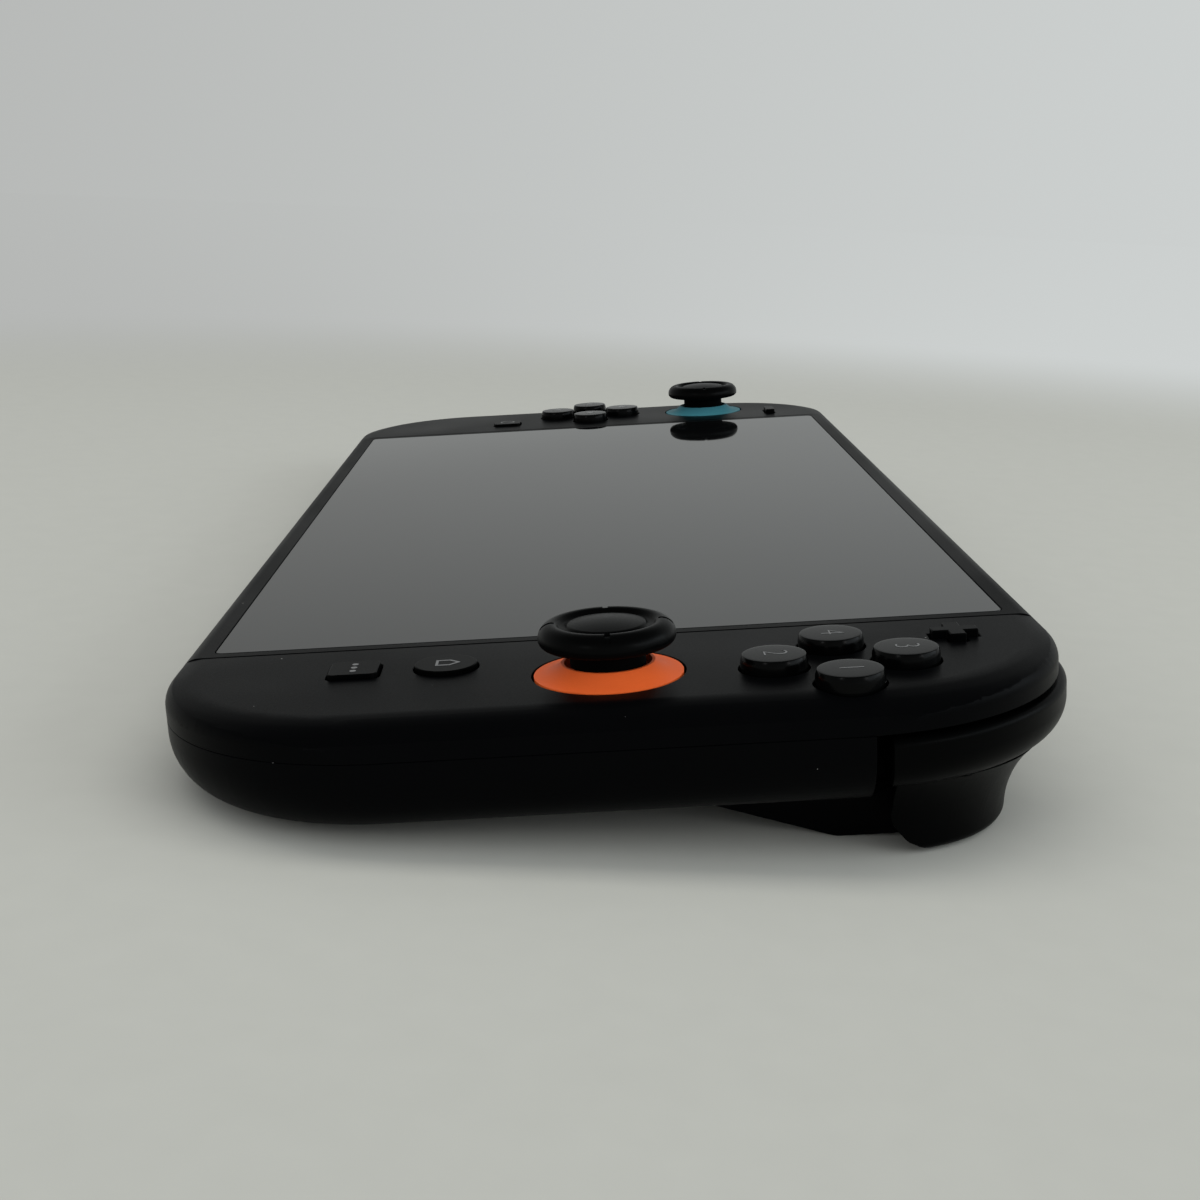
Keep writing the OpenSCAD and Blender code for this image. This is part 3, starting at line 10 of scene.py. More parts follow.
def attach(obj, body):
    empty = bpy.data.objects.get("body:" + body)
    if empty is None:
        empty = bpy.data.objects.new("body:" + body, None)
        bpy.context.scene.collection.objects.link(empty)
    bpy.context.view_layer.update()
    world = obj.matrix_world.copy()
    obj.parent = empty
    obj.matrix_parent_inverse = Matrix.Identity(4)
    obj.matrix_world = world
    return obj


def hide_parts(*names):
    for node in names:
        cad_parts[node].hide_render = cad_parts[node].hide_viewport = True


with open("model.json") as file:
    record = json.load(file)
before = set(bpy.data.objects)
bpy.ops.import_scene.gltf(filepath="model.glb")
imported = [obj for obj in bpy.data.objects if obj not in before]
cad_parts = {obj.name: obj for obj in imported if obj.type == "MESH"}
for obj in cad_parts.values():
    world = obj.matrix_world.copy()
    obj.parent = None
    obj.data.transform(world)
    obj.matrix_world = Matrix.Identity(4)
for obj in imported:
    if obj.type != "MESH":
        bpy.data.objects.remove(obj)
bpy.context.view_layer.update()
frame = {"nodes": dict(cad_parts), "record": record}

# Values that the part's source uses too: lengths in millimetres, and the tilt of the resting console
MM = 0.001
REST_TILT = math.radians(5.586795)
REST_SHIFT = 0.165021
REST_LIFT = 4.905677
FACE = 13.9

# Camera, fitted to the photograph; the image is 1200 by 1200
CAMERA_PLACE = (0.3268, -0.0087, 0.079095)
CAMERA_RIGHT = (0.01574, 0.998872, 0.044794)
CAMERA_UP = (-0.23817, -0.039764, 0.970409)
CAMERA_BACK = (0.971096, -0.025943, 0.237275)
CAMERA_LENS = 52.287
CAMERA_SENSOR = 36.0


def add_camera():
    data = bpy.data.cameras.new("photo_camera")
    data.lens = CAMERA_LENS
    data.sensor_width = CAMERA_SENSOR
    data.clip_start = 0.005
    camera = bpy.data.objects.new("photo_camera", data)
    bpy.context.scene.collection.objects.link(camera)
    turn = Matrix((CAMERA_RIGHT, CAMERA_UP, CAMERA_BACK)).transposed()
    camera.matrix_world = Matrix.Translation(CAMERA_PLACE) @ turn.to_4x4()
    bpy.context.scene.camera = camera


add_camera()


# Shader maths

class Channel:
    """A shader value. Arithmetic on it adds Math nodes."""

    def __init__(self, finish, socket):
        self.finish, self.socket = finish, socket

    def maths(self, operation, first, second):
        return self.finish.value("ShaderNodeMath", {"operation": operation}, {0: first, 1: second})

    def __add__(self, other):
        return self.maths("ADD", self, other)

    def __sub__(self, other):
        return self.maths("SUBTRACT", self, other)

    def __rsub__(self, other):
        return self.maths("SUBTRACT", other, self)

    def __mul__(self, other):
        return self.maths("MULTIPLY", self, other)

    def __gt__(self, other):
        return self.maths("GREATER_THAN", self, other)

    def __lt__(self, other):
        return self.maths("LESS_THAN", self, other)

    __radd__, __rmul__ = __add__, __mul__


class Finish:
    """A material under construction."""

    def __init__(self, name):
        self.material = bpy.data.materials.new(name)
        self.material.use_nodes = True
        self.tree = self.material.node_tree
        self.tree.nodes.clear()
        self.place = self.value("ShaderNodeTexCoord", output="Object")

    def node(self, kind, settings=None, inputs=None):
        node = self.tree.nodes.new(kind)
        for key, setting in (settings or {}).items():
            if key == "stops":
                ramp = node.color_ramp.elements
                for index, (spot, shade) in enumerate(setting):
                    stop = ramp[index] if index < len(ramp) else ramp.new(spot)
                    stop.position = spot
                    stop.color = (shade, shade, shade, 1)
            else:
                setattr(node, key, setting)
        for key, given in (inputs or {}).items():
            if isinstance(given, Channel):
                self.tree.links.new(given.socket, node.inputs[key])
            else:
                node.inputs[key].default_value = given
        return node

    def value(self, kind, settings=None, inputs=None, output=0):
        return Channel(self, self.node(kind, settings, inputs).outputs[output])

    def noise(self, scale, detail=2.0, rough=0.5):
        return self.value("ShaderNodeTexNoise", None, {
            "Vector": self.place, "Scale": scale, "Detail": detail, "Roughness": rough})

    def ramp(self, channel, *stops):
        return self.value("ShaderNodeValToRGB", {"stops": stops}, {"Fac": channel})

    def axis(self, vector, index):
        return self.value("ShaderNodeSeparateXYZ", None, {0: vector}, index)

    def ease(self, channel, low, high, start=0.0, end=1.0):
        """Goes smoothly from start to end while the value goes from low to high."""
        return self.value("ShaderNodeMapRange", {"interpolation_type": "SMOOTHSTEP"}, {
            "Value": channel, "From Min": low, "From Max": high, "To Min": start, "To Max": end})

    def mix(self, factor, first, second):
        return self.value("ShaderNodeMix", {"data_type": "RGBA"}, {0: factor, 6: first, 7: second}, 2)

    def bump(self, height, strength, distance):
        return self.value("ShaderNodeBump", None, {
            "Height": height, "Strength": strength, "Distance": distance})

    def specks(self, cells, size, share):
        """Small dots, one in some of the cells of a grid: dust."""
        cell = self.node("ShaderNodeTexVoronoi", None, {"Vector": self.place, "Scale": cells})
        near = Channel(self, cell.outputs["Distance"]) < size
        pick = self.value("ShaderNodeSeparateColor", None, {"Color": Channel(self, cell.outputs["Color"])})
        return near * (pick > 1 - share)

    def surface(self, colour, roughness, normal=None, **constants):
        inputs = {"Base Color": colour, "Roughness": roughness}
        if normal:
            inputs["Normal"] = normal
        shader = self.node("ShaderNodeBsdfPrincipled", None, inputs)
        for key, number in constants.items():
            shader.inputs[key.replace("_", " ")].default_value = number
        out = self.node("ShaderNodeOutputMaterial")
        self.tree.links.new(shader.outputs[0], out.inputs[0])
        return self.material


def shade(colour, k):
    return tuple(min(1.0, c * k) for c in colour) + (1.0,)


def moulded(name, colour, roughness, grain=0.12, grain_scale=4200, dust=0.05, dull_below=0.0, **constants):
    """Moulded plastic: fine spark texture, broad handling sheen and a little dust."""
    f = Finish(name)
    fine = f.noise(grain_scale, 3.0, 0.65)
    broad = f.noise(38, 3.0)
    handled = f.ramp(f.noise(17, 2.0), (0.42, 0.0), (0.66, 1.0))
    tone = f.mix(broad, shade(colour, 0.86), shade(colour, 1.14))
    tone = f.mix(fine * 0.5, tone, shade(colour, 1.35))
    specks = f.specks(420, 0.055, dust)
    tone = f.mix(specks * 0.55, tone, (0.5, 0.49, 0.47, 1.0))
    gloss = roughness + (fine - 0.5) * 0.16 + (broad - 0.5) * 0.12 - handled * 0.07 + specks * 0.3
    if dull_below:
        facing = f.axis(f.value("ShaderNodeNewGeometry", output="Normal"), 2)
        gloss = gloss + (facing < -0.1) * dull_below
    return f.surface(tone, gloss, f.bump(fine, grain, 0.00006), **constants)


def display_finish():
    """Cover glass over a dark panel: wiped smears in the gloss and a few specks of dust."""
    f = Finish("display_glass")
    smear = f.ramp(f.noise(21, 4.0, 0.6), (0.45, 0.0), (0.72, 1.0))
    fine = f.noise(900, 2.0)
    specks = f.specks(300, 0.03, 0.03)
    tone = f.mix(specks * 0.35, (0.003, 0.0032, 0.0034, 1.0), (0.35, 0.35, 0.34, 1.0))
    gloss = 0.022 + smear * 0.022 + (fine - 0.5) * 0.008 + specks * 0.4
    return f.surface(tone, gloss, IOR=1.45)


def metal(name, colour, roughness):
    """Stamped or turned metal with a drawn grain."""
    f = Finish(name)
    stretched = f.value("ShaderNodeVectorMath", {"operation": "MULTIPLY"}, {
        0: f.place, 1: (300.0, 6000.0, 6000.0)})
    grain = f.value("ShaderNodeTexNoise", None, {"Vector": stretched, "Scale": 1.0, "Detail": 2.0})
    tone = f.mix(grain, shade(colour, 0.8), shade(colour, 1.15))
    return f.surface(tone, roughness + (grain - 0.5) * 0.2, f.bump(grain, 0.1, 0.00003), Metallic=1.0)


def board_finish():
    """Circuit board: solder mask over tracks, with pale pads."""
    f = Finish("circuit_board")
    blocks = f.node("ShaderNodeTexBrick", {"offset": 0.37}, {
        "Vector": f.place, "Scale": 260.0, "Mortar Size": 0.02, "Bias": -0.4,
        "Color1": (0.012, 0.09, 0.05, 1), "Color2": (0.018, 0.13, 0.07, 1), "Mortar": (0.05, 0.2, 0.1, 1)})
    pads = f.specks(700, 0.16, 0.2)
    tone = f.mix(pads, Channel(f, blocks.outputs["Color"]), (0.6, 0.52, 0.3, 1))
    return f.surface(tone, 0.42 - pads * 0.15, f.bump(pads, 0.3, 0.00005))


CHARCOAL = (0.0011, 0.0012, 0.0014)
BLACK = (0.0008, 0.0009, 0.0009)
ORANGE = (0.86, 0.132, 0.028)
BLUE = (0.045, 0.18, 0.215)

finishes = {
    "display_glass": display_finish(),
    "display_panel": moulded("display_panel", (0.01, 0.01, 0.012), 0.3),
    "tablet_shell": moulded("tablet_shell", CHARCOAL, 0.42, Specular_IOR_Level=0.024),
    "controller_shell": moulded("controller_shell", CHARCOAL, 0.39, Specular_IOR_Level=0.024),
    "button_plastic": moulded("button_plastic", BLACK, 0.36, grain=0.05, dust=0.02, Specular_IOR_Level=0.025),
    "stick_rubber": moulded("stick_rubber", BLACK, 0.38, 0.2, 3000, dull_below=0.5, Specular_IOR_Level=0.05),
    "button_gloss": moulded("button_gloss", BLACK, 0.24, grain=0.02, dust=0.01, Specular_IOR_Level=0.065),
    "accent_orange": moulded("accent_orange", ORANGE, 0.5, grain=0.08, dust=0.02, Specular_IOR_Level=0.08),
    "accent_blue": moulded("accent_blue", BLUE, 0.5, grain=0.08, dust=0.02, Specular_IOR_Level=0.08),
    "inner_plastic": moulded("inner_plastic", (0.02, 0.02, 0.021), 0.55),
    "gimbal_plastic": moulded("gimbal_plastic", (0.45, 0.45, 0.44), 0.5),
    "circuit_board": board_finish(),
    "battery_wrap": moulded("battery_wrap", (0.05, 0.05, 0.055), 0.4, grain=0.3, grain_scale=900),
    "copper": metal("copper", (0.62, 0.34, 0.2), 0.32),
    "socket_steel": metal("socket_steel", (0.55, 0.56, 0.58), 0.3),
    "screw_steel": metal("screw_steel", (0.1, 0.1, 0.105), 0.38),
    "mark_paint": moulded("mark_paint", (0.12, 0.12, 0.12), 0.35, dust=0.0),
}
slot_of = {row["node"]: row["material_slot"] for row in frame["record"]["subparts"]}
body_of = {n: b for b, members in frame["record"]["behaviour"]["bodies"].items() for n in members}


# Handling of pieces

def clear_selection():
    if bpy.context.object and bpy.context.object.mode != "OBJECT":
        bpy.ops.object.mode_set(mode="OBJECT")
    bpy.ops.object.select_all(action="DESELECT")


def hold(piece):
    clear_selection()
    piece.select_set(True)
    bpy.context.view_layer.objects.active = piece


SMOOTH_ANGLE = 32


def smooth(piece, degrees=SMOOTH_ANGLE):
    hold(piece)
    bpy.ops.object.shade_smooth_by_angle(angle=math.radians(degrees))


def apply_modifier(piece, kind, **settings):
    hold(piece)
    modifier = piece.modifiers.new(kind.lower(), kind)
    for key, setting in settings.items():
        setattr(modifier, key, setting)
    bpy.ops.object.modifier_apply(modifier=modifier.name)


def dress(piece, name, body, slot, finish=None):
    piece.name = piece.data.name = name
    piece.data.materials.clear()
    piece.data.materials.append(finishes[finish or slot])
    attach(piece, body)
    return piece


def seat(piece):
    """Moves a piece that was modelled in the body's own axes, in metres, to the console's resting pose."""
    hold(piece)
    piece.matrix_world = (Matrix.Translation((0, REST_SHIFT * MM, REST_LIFT * MM))
                          @ Matrix.Rotation(REST_TILT, 4, "X") @ piece.matrix_world)
    bpy.ops.object.transform_apply(location=True, rotation=True, scale=True)
    return piece


WELD, TRIGGER_WELD, FLAT_ANGLE = 0.004, 0.02, 0.4
BEVEL_ANGLE, BEVEL_SEGMENTS = 50, 3


def round_trigger():
    """In edit mode, trims a trigger's end beside the slot, and its lower corner to a round of facets."""
    sweep, tip_y, tip_z, end_y = 8.0, 40.2, 0.43, 32.7
    cuts = [(90, end_y, tip_z)]
    for degrees in range(4, 56, 4):
        a = math.radians(degrees)
        cuts.append((degrees, tip_y - sweep * math.sin(a), tip_z + sweep * (1 - math.cos(a))))
    for degrees, y, z in cuts:
        a = math.radians(degrees)
        bpy.ops.mesh.select_all(action="SELECT")
        bpy.ops.mesh.bisect(plane_co=(0, y * MM, z * MM), plane_no=(0, -math.sin(a), -math.cos(a)),
                            use_fill=True, clear_outer=True)
    bpy.ops.mesh.select_all(action="SELECT")
    bpy.ops.mesh.remove_doubles(threshold=TRIGGER_WELD * MM)
    bpy.ops.mesh.dissolve_degenerate(threshold=TRIGGER_WELD * MM)


def pull_in(piece, before, reach):
    """Puts points that the bevel threw farther than the reach off the surface back on it."""
    for point in piece.data.vertices:
        near, _, _, gap = before.find_nearest(point.co)
        if gap > reach:
            point.co = near


def softened(node, radius, crease):
    """A copy of a casing piece with its edges rounded, which stands for that piece."""
    source = frame["nodes"][node]
    piece = source.copy()
    piece.data = source.data.copy()
    for key in list(piece.keys()):
        del piece[key]
    piece.parent = None
    bpy.context.scene.collection.objects.link(piece)
    hold(piece)
    bpy.ops.object.mode_set(mode="EDIT")
    bpy.ops.mesh.select_all(action="SELECT")
    bpy.ops.mesh.remove_doubles(threshold=WELD * MM)
    bpy.ops.mesh.dissolve_degenerate(threshold=WELD * MM)
    bpy.ops.mesh.dissolve_limited(angle_limit=math.radians(FLAT_ANGLE))
    if node.endswith("_trigger"):
        round_trigger()
    bpy.ops.object.mode_set(mode="OBJECT")
    before = BVHTree.FromPolygons([point.co for point in piece.data.vertices],
                                  [tuple(face.vertices) for face in piece.data.polygons])
    apply_modifier(piece, "BEVEL", width=radius * MM, segments=BEVEL_SEGMENTS,
                   limit_method="ANGLE", angle_limit=math.radians(BEVEL_ANGLE), use_clamp_overlap=False,
                   miter_outer="MITER_SHARP", loop_slide=False)
    pull_in(piece, before, radius * MM)
    smooth(piece, crease)
    apply_modifier(piece, "WEIGHTED_NORMAL", keep_sharp=True)
    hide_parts(node)
    return dress(piece, node + "_piece", body_of[node], slot_of[node])


CREASE_ANGLES = {"right_front_shell": 22, "left_front_shell": 22}
EDGE_RADII = {
    "display_glass": 0.12, "front_frame": 0.12, "rear_cover": 0.15, "kickstand": 0.2,
    "right_front_shell": 0.15, "left_front_shell": 0.15, "right_rear_shell": 0.15, "left_rear_shell": 0.15,
    "right_bumper": 0.12, "left_bumper": 0.12, "right_trigger": 0.12, "left_trigger": 0.12,
    "plus_button": 0.2, "minus_button": 0.2, "home_button": 0.15, "chat_button": 0.15, "capture_button": 0.15,
}
for node, radius in EDGE_RADII.items():
    softened(node, radius, CREASE_ANGLES.get(node, SMOOTH_ANGLE))

for node, thing in frame["nodes"].items():
    thing.data.materials.clear()
    thing.data.materials.append(finishes[slot_of[node]])


# Turned pieces and marks, modelled in the body's own axes

def into_mesh(piece):
    hold(piece)
    bpy.ops.object.transform_apply(location=True, rotation=True, scale=True)


def pick_faces(piece, wanted):
    """In edit mode, selects the faces whose middle passes the test."""
    bpy.ops.mesh.select_mode(type="FACE")
    bpy.ops.mesh.select_all(action="DESELECT")
    bpy.ops.object.mode_set(mode="OBJECT")
    for face in piece.data.polygons:
        face.select = bool(wanted(face.center / MM, face.normal))
    bpy.ops.object.mode_set(mode="EDIT")


def turned(profile, place, segments=96):
    """A ring, extruded and scaled along a profile of (radius, height) in millimetres, closed at both ends."""
    x, y = place
    clear_selection()
    bpy.ops.mesh.primitive_circle_add(vertices=segments, radius=profile[0][0] * MM,
                                      location=(x * MM, y * MM, profile[0][1] * MM))
    piece = bpy.context.object
    into_mesh(piece)
    bpy.ops.object.mode_set(mode="EDIT")
    bpy.ops.mesh.select_all(action="SELECT")
    for (r0, z0), (r1, z1) in zip(profile, profile[1:]):
        bpy.ops.mesh.extrude_edges_move(TRANSFORM_OT_translate={"value": (0, 0, (z1 - z0) * MM)})
        bpy.ops.transform.resize(value=(r1 / r0, r1 / r0, 1), center_override=(x * MM, y * MM, z1 * MM))
    bpy.ops.mesh.select_all(action="SELECT")
    bpy.ops.mesh.fill_holes(sides=0)
    bpy.ops.mesh.normals_make_consistent(inside=False)
    bpy.ops.object.mode_set(mode="OBJECT")
    return piece


def arc(centre, radius, start, end, steps):
    """Points of an arc in (radius, height), angles in degrees."""
    for i in range(steps + 1):
        a = math.radians(start + (end - start) * i / steps)
        yield centre[0] + radius * math.cos(a), centre[1] + radius * math.sin(a)


STICK_PLACES = {"right": (117.2, -0.4), "left": (-117.2, 28.6)}


def stick_cap(side):
    """Rubber thumb cap: round rim with four slits, a groove and a domed middle."""
    shaft, dome_sweep, apex = 1.95, 25.25, 6.85
    slit_from, slit_to, slit_low, slit_half_angle, slit_depth = 6.5, 8.3, 5.9, 1.5, 0.3
    profile = [(shaft, 5.4), (shaft, 1.05), (4.67, 1.05), (4.75, 1.15), (4.75, 2.9), (4.95, 3.35)]
    profile += [(5.6, 3.6), (6.7, 3.71)]
    profile += arc((7.65, 4.7), 1.0, -90, 0, 7)
    profile += arc((6.75, 4.8), 1.9, 0, 85, 10)
    profile += [(6.5, 6.64), (6.3, 6.53), (6.15, 6.38), (6.02, 6.2), (5.8, 6.06), (5.5, 6.02)]
    profile += [(5.2, 6.06), (5.05, 6.16), (4.96, 6.3)]
    dome = [4.85, 4.6, 4.1, 3.5, 2.8, 2.1, 1.4, 0.7, 0.2]
    profile += [(r, apex - dome_sweep + math.sqrt(dome_sweep ** 2 - r * r)) for r in dome]
    place = STICK_PLACES[side]
    piece = turned([(r, z + FACE) for r, z in profile], place, 128)
    bpy.ops.object.mode_set(mode="EDIT")

    def at_slit(spot, normal):
        x, y = spot.x - place[0], spot.y - place[1]
        turn = math.degrees(math.atan2(y, x)) % 90
        on_rim = slit_from < math.hypot(x, y) < slit_to and spot.z > FACE + slit_low
        return on_rim and min(turn, 90 - turn) < slit_half_angle

    pick_faces(piece, at_slit)
    bpy.ops.mesh.extrude_region_move(TRANSFORM_OT_translate={"value": (0, 0, -slit_depth * MM)})
    bpy.ops.object.mode_set(mode="OBJECT")
    smooth(piece, 40)
    node = side + "_stick_cap"
    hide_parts(node)
    return dress(seat(piece), node + "_piece", body_of[node], "stick_rubber")


for side in STICK_PLACES:
    stick_cap(side)

MARK_LIFT = 0.03
CAP_TOP = 1.87
BUTTON_TOP = FACE + CAP_TOP
SMALL_TOP = FACE + 0.6
GROUP_R = 8.2
HOME_PLACE, CHAT_PLACE, CAPTURE_PLACE = (111.0, -21.2), (111.0, -33.0), (-111.0, -21.2)
NUMERAL_SIZE, NUMERAL_THINNING = 4.6, 0.11
TRIANGLE_R, DOT_R, DOT_STEP = 1.35, 0.42, 1.5
RING_OUT, RING_IN = 1.75, 1.45


def finish_mark(piece, name, node):
    smooth(piece)
    return dress(seat(piece), name, body_of[node], slot_of[node], "mark_paint")


def numeral(sign, place, node):
    """A plain number on a round button."""
    clear_selection()
    bpy.ops.object.text_add(location=(place[0] * MM, place[1] * MM, BUTTON_TOP * MM))
    piece = bpy.context.object
    piece.data.body = sign
    piece.data.size = NUMERAL_SIZE * MM
    piece.data.align_x, piece.data.align_y = "CENTER", "CENTER"
    piece.data.extrude = MARK_LIFT * MM
    piece.data.offset = -NUMERAL_THINNING * MM
    bpy.ops.object.convert(target="MESH")
    return finish_mark(bpy.context.object, node + "_mark", node)


def flat_mark(vertices, radius, place, top, turn=0.0):
    """A thin flat plate with straight sides, lying on a button."""
    clear_selection()
    bpy.ops.mesh.primitive_circle_add(vertices=vertices, radius=radius * MM, fill_type="NGON",
                                      location=(place[0] * MM, place[1] * MM, (top - MARK_LIFT) * MM),
                                      rotation=(0, 0, turn))
    piece = bpy.context.object
    into_mesh(piece)
    bpy.ops.object.mode_set(mode="EDIT")
    bpy.ops.mesh.select_all(action="SELECT")
    bpy.ops.mesh.extrude_region_move(TRANSFORM_OT_translate={"value": (0, 0, 2 * MARK_LIFT * MM)})
    bpy.ops.mesh.select_all(action="SELECT")
    bpy.ops.mesh.normals_make_consistent(inside=False)
    bpy.ops.object.mode_set(mode="OBJECT")
    return piece


def button_cap(place, node):
    """The glossy cap of a round button: steep flank, crisp edge and a faintly crowned top."""
    profile = [(4.0, -0.2), (4.22, -0.12), (4.22, 0.9), (4.17, 1.2), (4.07, 1.55)]
    profile += arc((3.87, 1.68), 0.13, 15, 88, 5)
    profile += [(3.5, 1.825), (2.6, 1.845), (1.6, 1.86), (0.2, CAP_TOP)]
    piece = turned([(r, z + FACE) for r, z in profile], place, 80)
    smooth(piece, 40)
    return dress(seat(piece), node + "_cap", body_of[node], slot_of[node], "button_gloss")


RIGHT_GROUP, LEFT_GROUP = (119.3, 28.3), (-119.3, -0.3)
AROUND = {"outer": (1, 0), "top": (0, 1), "inner": (-1, 0), "bottom": (0, -1)}
for sign, key in zip("1342", AROUND):
    node, step = f"action_{key}_button", AROUND[key]
    spot = (RIGHT_GROUP[0] + GROUP_R * step[0], RIGHT_GROUP[1] + GROUP_R * step[1])
    button_cap(spot, node)
    numeral(sign, spot, node)
POINTING = {"left": (-1, 0), "up": (0, 1), "right": (1, 0), "down": (0, -1)}
for key, step in POINTING.items():
    node = f"direction_{key}_button"
    spot = (LEFT_GROUP[0] + GROUP_R * step[0], LEFT_GROUP[1] + GROUP_R * step[1])
    turn = math.atan2(step[1], step[0]) - math.pi / 2
    button_cap(spot, node)
    finish_mark(flat_mark(3, TRIANGLE_R, spot, BUTTON_TOP, turn), node + "_mark", node)


def home_mark():
    """A small outlined house."""
    x, y = HOME_PLACE
    wide, high, lower, gable, line = 2.5, 1.9, 0.35, 1.3, 0.34
    clear_selection()
    middle = (x * MM, (y - lower) * MM, (SMALL_TOP - MARK_LIFT) * MM)
    bpy.ops.mesh.primitive_plane_add(size=1, location=middle)
    piece = bpy.context.object
    piece.scale = (wide * MM, high * MM, 1)
    into_mesh(piece)
    bpy.ops.object.mode_set(mode="EDIT")
    bpy.ops.mesh.select_mode(type="EDGE")
    bpy.ops.mesh.select_all(action="DESELECT")
    bpy.ops.object.mode_set(mode="OBJECT")
    for edge in piece.data.edges:
        ends = [piece.data.vertices[v].co.y for v in edge.vertices]
        edge.select = min(ends) > y * MM
    bpy.ops.object.mode_set(mode="EDIT")
    bpy.ops.mesh.subdivide(number_cuts=1)
    bpy.ops.mesh.select_mode(type="VERT")
    bpy.ops.mesh.select_all(action="DESELECT")
    bpy.ops.object.mode_set(mode="OBJECT")
    for vertex in piece.data.vertices:
        vertex.select = abs(vertex.co.x - x * MM) < 0.1 * MM and vertex.co.y > y * MM
    bpy.ops.object.mode_set(mode="EDIT")
    bpy.ops.transform.translate(value=(0, gable * MM, 0))
    bpy.ops.mesh.select_mode(type="FACE")
    bpy.ops.mesh.select_all(action="SELECT")
    bpy.ops.mesh.inset(thickness=line * MM)
    bpy.ops.mesh.delete(type="FACE")
    bpy.ops.mesh.select_all(action="SELECT")
    bpy.ops.mesh.extrude_region_move(TRANSFORM_OT_translate={"value": (0, 0, 2 * MARK_LIFT * MM)})
    bpy.ops.mesh.select_all(action="SELECT")
    bpy.ops.mesh.normals_make_consistent(inside=False)
    bpy.ops.object.mode_set(mode="OBJECT")
    return finish_mark(piece, "home_mark", "home_button")


home_mark()
for i in (-1, 0, 1):
    spot = (CHAT_PLACE[0] + DOT_STEP * i, CHAT_PLACE[1])
    finish_mark(flat_mark(20, DOT_R, spot, SMALL_TOP), f"chat_mark_{i + 2}", "chat_button")
ring = [(RING_OUT, SMALL_TOP - MARK_LIFT), (RING_OUT, SMALL_TOP + MARK_LIFT),
        (RING_IN, SMALL_TOP + MARK_LIFT), (RING_IN, SMALL_TOP - MARK_LIFT)]
finish_mark(turned(ring, CAPTURE_PLACE, 48), "capture_mark", "capture_button")


# Floor, light and surroundings, in metres

AMBIENT_FRONT, AMBIENT_BACK = 1.0, 0.36
FLOOR_TONE = (0.535, 0.53, 0.48)
FLOOR_RADIUS, FLOOR_FADE_START, FLOOR_FADE_END = 3.0, 0.32, 0.62
# The wall's tone is darker at the left than at the right: painted shade, a soft shadow on the left of the
# backdrop.
SHADED_WALL_LEFT = (0.465, 0.475, 0.465)
WALL_RIGHT = (0.615, 0.64, 0.635)
WALL_ABOVE, CEILING = 0.83, 0.2


def add_floor():
    """A pale table top that goes over into the wall's tone with distance."""
    clear_selection()
    bpy.ops.mesh.primitive_circle_add(vertices=96, radius=FLOOR_RADIUS, fill_type="NGON", location=(0, 0, 0))
    floor = bpy.context.object
    floor.name = "floor"
    f = Finish("floor")
    spread = f.value("ShaderNodeVectorMath", {"operation": "LENGTH"}, {0: f.place}, "Value")
    away = f.ease(spread, FLOOR_FADE_START, FLOOR_FADE_END)
    heading = f.value("ShaderNodeVectorMath", {"operation": "NORMALIZE"}, {0: f.place})
    aside = f.ease(f.axis(heading, 1), -0.5, 0.5)
    grain = f.noise(160, 3.0)
    tone = f.mix(grain, shade(FLOOR_TONE, 0.975), shade(FLOOR_TONE, 1.025))
    near = f.node("ShaderNodeBsdfDiffuse", None, {"Color": tone})
    # The far part glows in the wall's tone, so it carries the same painted shade at the left.
    far = f.node("ShaderNodeEmission", None, {
        "Color": f.mix(aside, shade(SHADED_WALL_LEFT, 1), shade(WALL_RIGHT, 1))})
    both = f.node("ShaderNodeMixShader", None, {0: away})
    f.tree.links.new(near.outputs[0], both.inputs[1])
    f.tree.links.new(far.outputs[0], both.inputs[2])
    out = f.node("ShaderNodeOutputMaterial")
    f.tree.links.new(both.outputs[0], out.inputs[0])
    floor.data.materials.append(f.material)


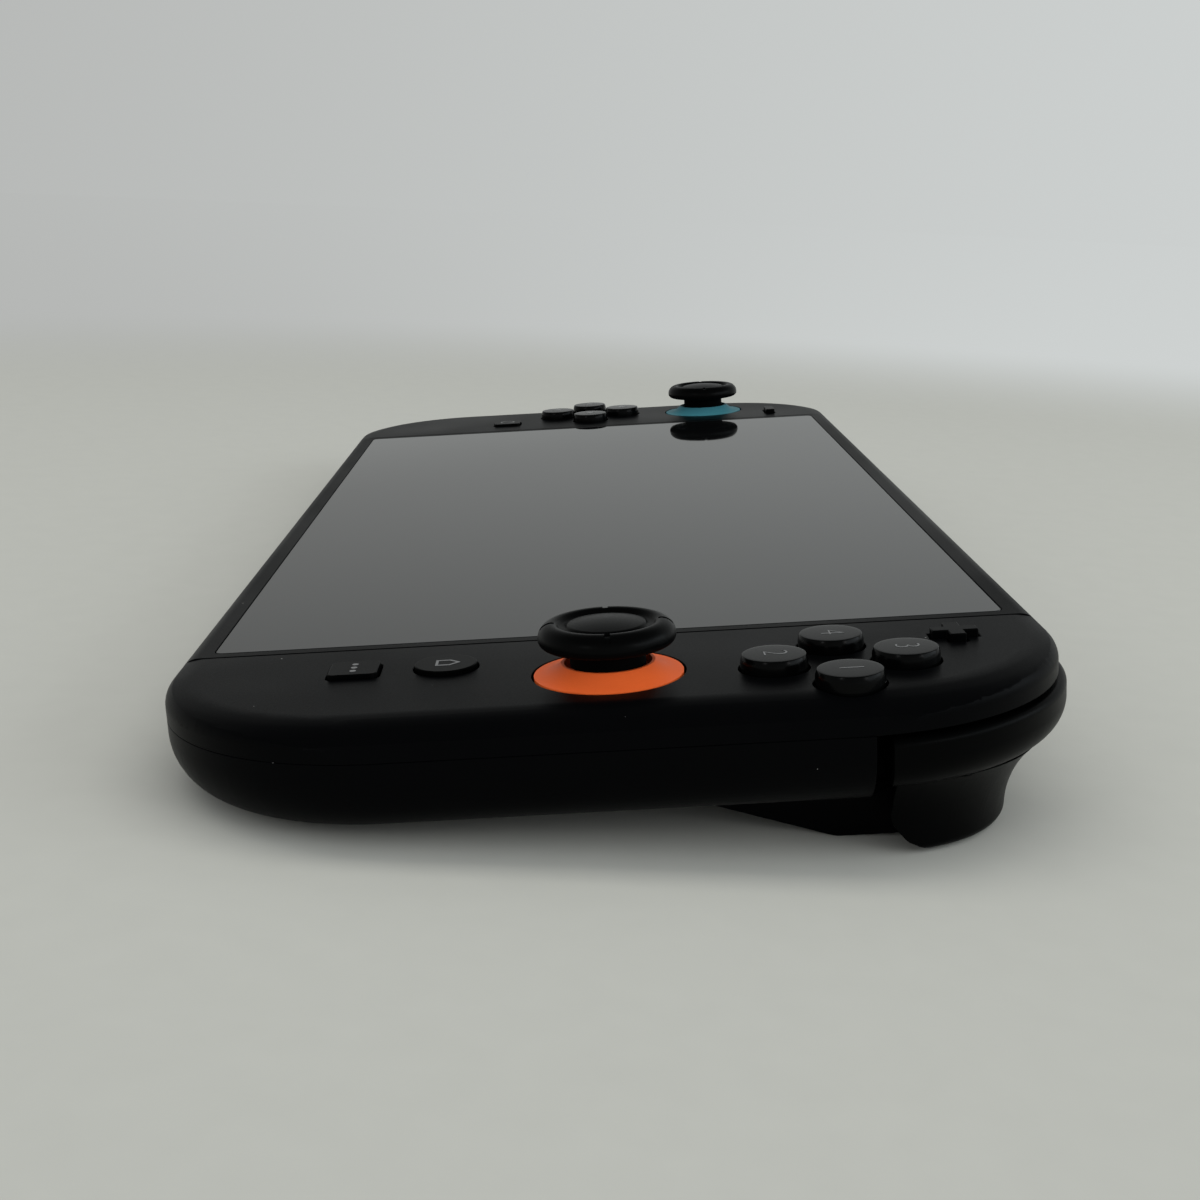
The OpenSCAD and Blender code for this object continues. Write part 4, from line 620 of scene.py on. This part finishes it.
def add_world():
    """A pale wall for camera, mirror and glass rays, darker at the left with painted shade, and soft light,
    mostly from the front, for the rest.
    """
    world = bpy.data.worlds.new("surroundings")
    world.use_nodes = True
    bpy.context.scene.world = world
    w = Finish.__new__(Finish)
    w.tree = world.node_tree
    w.tree.nodes.clear()
    path = w.node("ShaderNodeLightPath")
    seen = Channel(w, path.outputs["Is Camera Ray"])
    for kind in ("Is Glossy Ray", "Is Transmission Ray"):
        seen = seen.maths("MAXIMUM", seen, Channel(w, path.outputs[kind]))
    heading = w.value("ShaderNodeTexCoord", output="Generated")
    aside = w.ease(w.axis(heading, 1), -0.5, 0.5)
    height = w.axis(heading, 2)
    dimmed = w.ease(height, 0.1, 0.16, 1.0, WALL_ABOVE)
    ceiling = w.ease(height, 0.3, 0.85, 1.0, CEILING)
    # Painted shade: the wall's left side is darker than its right.
    wall = w.node("ShaderNodeBackground", None, {
        "Color": w.mix(aside, shade(SHADED_WALL_LEFT, 1), shade(WALL_RIGHT, 1)), "Strength": dimmed * ceiling})
    front = w.ease(w.axis(heading, 0), -0.4, 0.6, AMBIENT_BACK, AMBIENT_FRONT)
    soft = w.node("ShaderNodeBackground", None, {"Color": (0.92, 0.96, 1.0, 1.0), "Strength": front})
    both = w.node("ShaderNodeMixShader", None, {0: seen})
    w.tree.links.new(soft.outputs[0], both.inputs[1])
    w.tree.links.new(wall.outputs[0], both.inputs[2])
    out = w.node("ShaderNodeOutputWorld")
    w.tree.links.new(both.outputs[0], out.inputs[0])


def add_lamp(name, place, aim, size, watts, colour=(1, 1, 1), mirrored=True):
    data = bpy.data.lights.new(name, "AREA")
    data.shape = "RECTANGLE"
    data.size, data.size_y = size
    data.energy = watts
    data.color = colour
    lamp = bpy.data.objects.new(name, data)
    bpy.context.scene.collection.objects.link(lamp)
    lamp.location = place
    lamp.rotation_euler = (Vector(aim) - Vector(place)).to_track_quat("-Z", "Y").to_euler()
    lamp.visible_glossy = mirrored


add_floor()
add_world()
add_lamp("sky_panel", (0.0, 0.0, 1.0), (0, 0, 0), (0.4, 1.8), 3.5, (1.0, 0.99, 0.95), False)
add_lamp("side_panel", (0.26, 0.83, 0.34), (0.12, 0.05, 0.01), (1.0, 0.3), 2.0, (0.84, 0.94, 1.0))
add_lamp("window_left", (1.0, -0.75, 0.55), (0.1, 0, 0), (0.14, 0.2), 0.5)
add_lamp("window_right", (0.9, 0.8, 0.5), (0.1, 0, 0), (0.14, 0.2), 0.5)

bpy.context.scene.view_settings.view_transform = "Standard"
